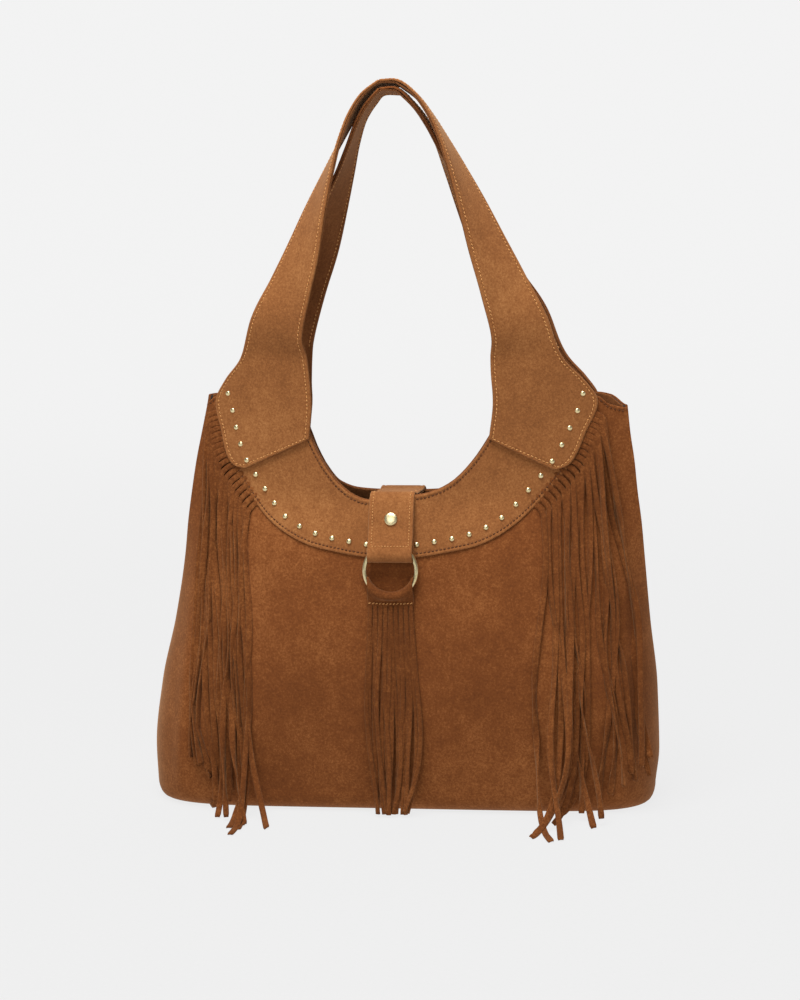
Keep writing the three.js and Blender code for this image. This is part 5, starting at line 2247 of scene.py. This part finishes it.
@dataclass
class Tassel:
    """Suede head folded over the ring, sewn below it and cut into strands."""

    form: BagForm
    finishes: Finishes
    width: float = 34.0
    head_bottom: float = 161.5
    thickness: float = 1.2
    cavity: float = 3.4
    strands: int = 9
    strand_width: float = 3.2
    length: float = 161.0
    head_flat: float = 30.0  # length of the head before it is folded
    ring: RingForm = RingForm()

    def wire_at(self, x: float) -> Array:
        """Middle of the ring's wire on its lower arc, as y and z.

        Args:
            x: Place across.

        Returns:
            The point.
        """
        hinge, lean = self.ring.hinge(), self.ring.lean
        drop = self.ring.drop() / math.cos(lean) + math.sqrt(self.ring.radius**2 - x * x)
        return np.array([hinge[1] - drop * math.sin(lean), hinge[2] - drop * math.cos(lean)])

    def reach(self, height: float, layer: int) -> float:
        """How far out a layer's middle hangs, over the bag's belly.

        Args:
            height: Height of the point.
            layer: 0 for the layer at the bag, 1 for the outer one.

        Returns:
            Its y.
        """
        heights = np.array([height] + [row[0] for row in self.form.rows if row[0] >= height])
        belly = float(self.form.half_deep(heights).max())
        return -(belly + GAP / 2 + GAP + self.thickness / 2 + layer * (self.thickness + GAP))

    def head_line(self, x: float) -> Array:
        """Path of the head over the ring at x: up the back, over the wire, down the front.

        Args:
            x: Place across.

        Returns:
            Points as y and z.
        """
        wire = self.wire_at(x)
        half = self.cavity + self.thickness / 2
        steep = self.ring.radius / math.sqrt(self.ring.radius**2 - x * x)
        rise = self.ring.wire * steep + 1 + self.thickness / 2
        close = self.head_bottom + 2.6
        line = [
            np.array([self.reach(self.head_bottom, 0), self.head_bottom]),
            np.array([self.reach(close, 0), close]),
        ]
        for angle in range(0, 181, 30):
            a = math.radians(angle)
            line.append(wire + np.array([half * math.cos(a), rise * math.sin(a)]))
        line.append(np.array([self.reach(close, 1), close]))
        line.append(np.array([self.reach(self.head_bottom, 1) - 0.2, self.head_bottom]))
        return smooth_line(np.array(line), 60)

    def head(self, shell: Shell) -> Array:
        """Adds the folded head and returns its middle grid.

        Args:
            shell: Where it is added.

        Returns:
            Points by row and column.
        """
        columns = []
        for x in np.linspace(-self.width / 2, self.width / 2, 25):
            line = self.head_line(float(x))
            columns.append(np.stack([np.full(len(line), x), line[:, 0], line[:, 1]], axis=1))
        grid = np.array(columns).transpose(1, 0, 2)
        shell.add(*ply(grid, self.thickness))
        return grid

    def hanging(self, shell: Shell) -> None:
        """Adds the settled strands of both layers.

        Args:
            shell: Where they are added.
        """
        rng = np.random.default_rng(SEED + 5)
        bundle = StrandBundle(
            self.form,
            self.strand_width,
            self.thickness,
            clearance=1.0,
            links=40,
            pinned=3,
            stiffness=0.26,
            lane_hold=0.012,
            spread=(3.5, 2.2),
        )
        lines, t = [], np.linspace(0, 1, bundle.links)
        pitch = (self.width - self.strand_width) / (self.strands - 1)
        for layer in (0, 1):
            count = self.strands - (1 - layer)
            for k in range(count):
                x = (k - (count - 1) / 2) * pitch
                z = self.head_bottom + 1.5 - t * self.length
                y = [self.reach(max(float(h), 60.0), layer) - 0.15 for h in z]
                lines.append(np.stack([np.full(len(t), x), y, np.maximum(z, 2.0)], axis=1))
        lines = np.array(lines)
        count = len(lines)
        phase = rng.uniform(0, math.tau, (count, 4))
        draw = lines[:, :1, 0] / self.width
        sway = np.sin(math.tau * t * 0.9 + phase[:, :1]) * 0.5
        sway += np.sin(math.tau * t * 1.9 + phase[:, 1:2]) * 0.35
        belly = draw * 1.4 * np.sin(math.pi * t) - draw * 1.6 * t**3
        out = -0.12 * np.abs(np.sin(math.tau * t + phase[:, 2:3]))
        push = np.stack([(sway * 0.55 + belly) * t**0.5, out], axis=2)
        curl = 0.45 * np.sin(math.tau * t * 1.1 + phase[:, 2:3])
        curl += 0.35 * np.sin(math.tau * t * 2.2 + phase[:, 3:])
        twist = t**1.2 * curl
        settled = bundle.settle(lines, twist, push * 1.25)
        for k in range(count):
            fine = smooth_line(settled[k], 80)
            s = np.linspace(0, 1, len(fine))
            width = self.strand_width * (1 + 0.05 * np.sin(math.tau * s * 2 + phase[k, 0]))
            turned = np.interp(s, t, twist[k])
            shell.add(*bundle.skin(fine, turned, width, np.array([0.0, -1.0, 0.0])))

    def sew(self, grid: Array) -> Object:
        """Thick stitches across the foot of the head.

        Args:
            grid: Points of the head's middle.

        Returns:
            The stitches.
        """
        thread = Shell()
        normal = grid_normals(grid)
        row = len(grid) - 3
        out = normal[row] * -np.sign(normal[row, :, 1].mean())
        line = grid[row] + out * (self.thickness / 2 - 0.1)
        Stitching(pitch=2.6, length=2.1, radius=0.42, slant=24).sew(thread, line, out)
        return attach(thread.make("tassel_stitches", self.finishes.thread), "tassel")

    def build(self) -> Object:
        """Makes the tassel.

        Returns:
            Its stitches.
        """
        shell = Shell()
        grid = self.head(shell)
        self.hanging(shell)
        piece = shell.make("tassel_strands", self.finishes.suede_strands_and_shade)
        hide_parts("tassel")
        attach(piece, "tassel")
        stitches = self.sew(grid)
        return stitches


# ---- The whole bag ----


def main() -> None:
    """Builds the camera, the studio and every part of the bag."""
    logging.basicConfig(level=logging.INFO, format="%(name)s: %(message)s")
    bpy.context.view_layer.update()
    CameraRig().build()
    Studio().build()
    finishes = Finishes()
    form = BagForm()
    BagBody(form, finishes).build()
    LOG.info("body, facings, base and lining")
    front_yoke = Yoke(form, finishes, Face.FRONT)
    front_yoke.build()
    Yoke(form, finishes, Face.REAR).build()
    LOG.info("yokes")
    for face in Face:
        Handle(form, finishes, face).build()
        LOG.info("%s handle", face.name.lower())
    tab = ClosingTab(form, finishes)
    tab.build()
    LOG.info("closing tab")
    Hardware(form, finishes).build(tab)
    LOG.info("studs, snap and ring")
    Tassel(form, finishes).build()
    LOG.info("tassel")
    SideFringe(form, finishes, front_yoke, Side.LEFT, 159.0, 106.0, 50.0).build()
    SideFringe(form, finishes, front_yoke, Side.RIGHT, 188.0, 114.0, 40.0).build()
    LOG.info("fringes")


if __name__ == "__main__":
    main()
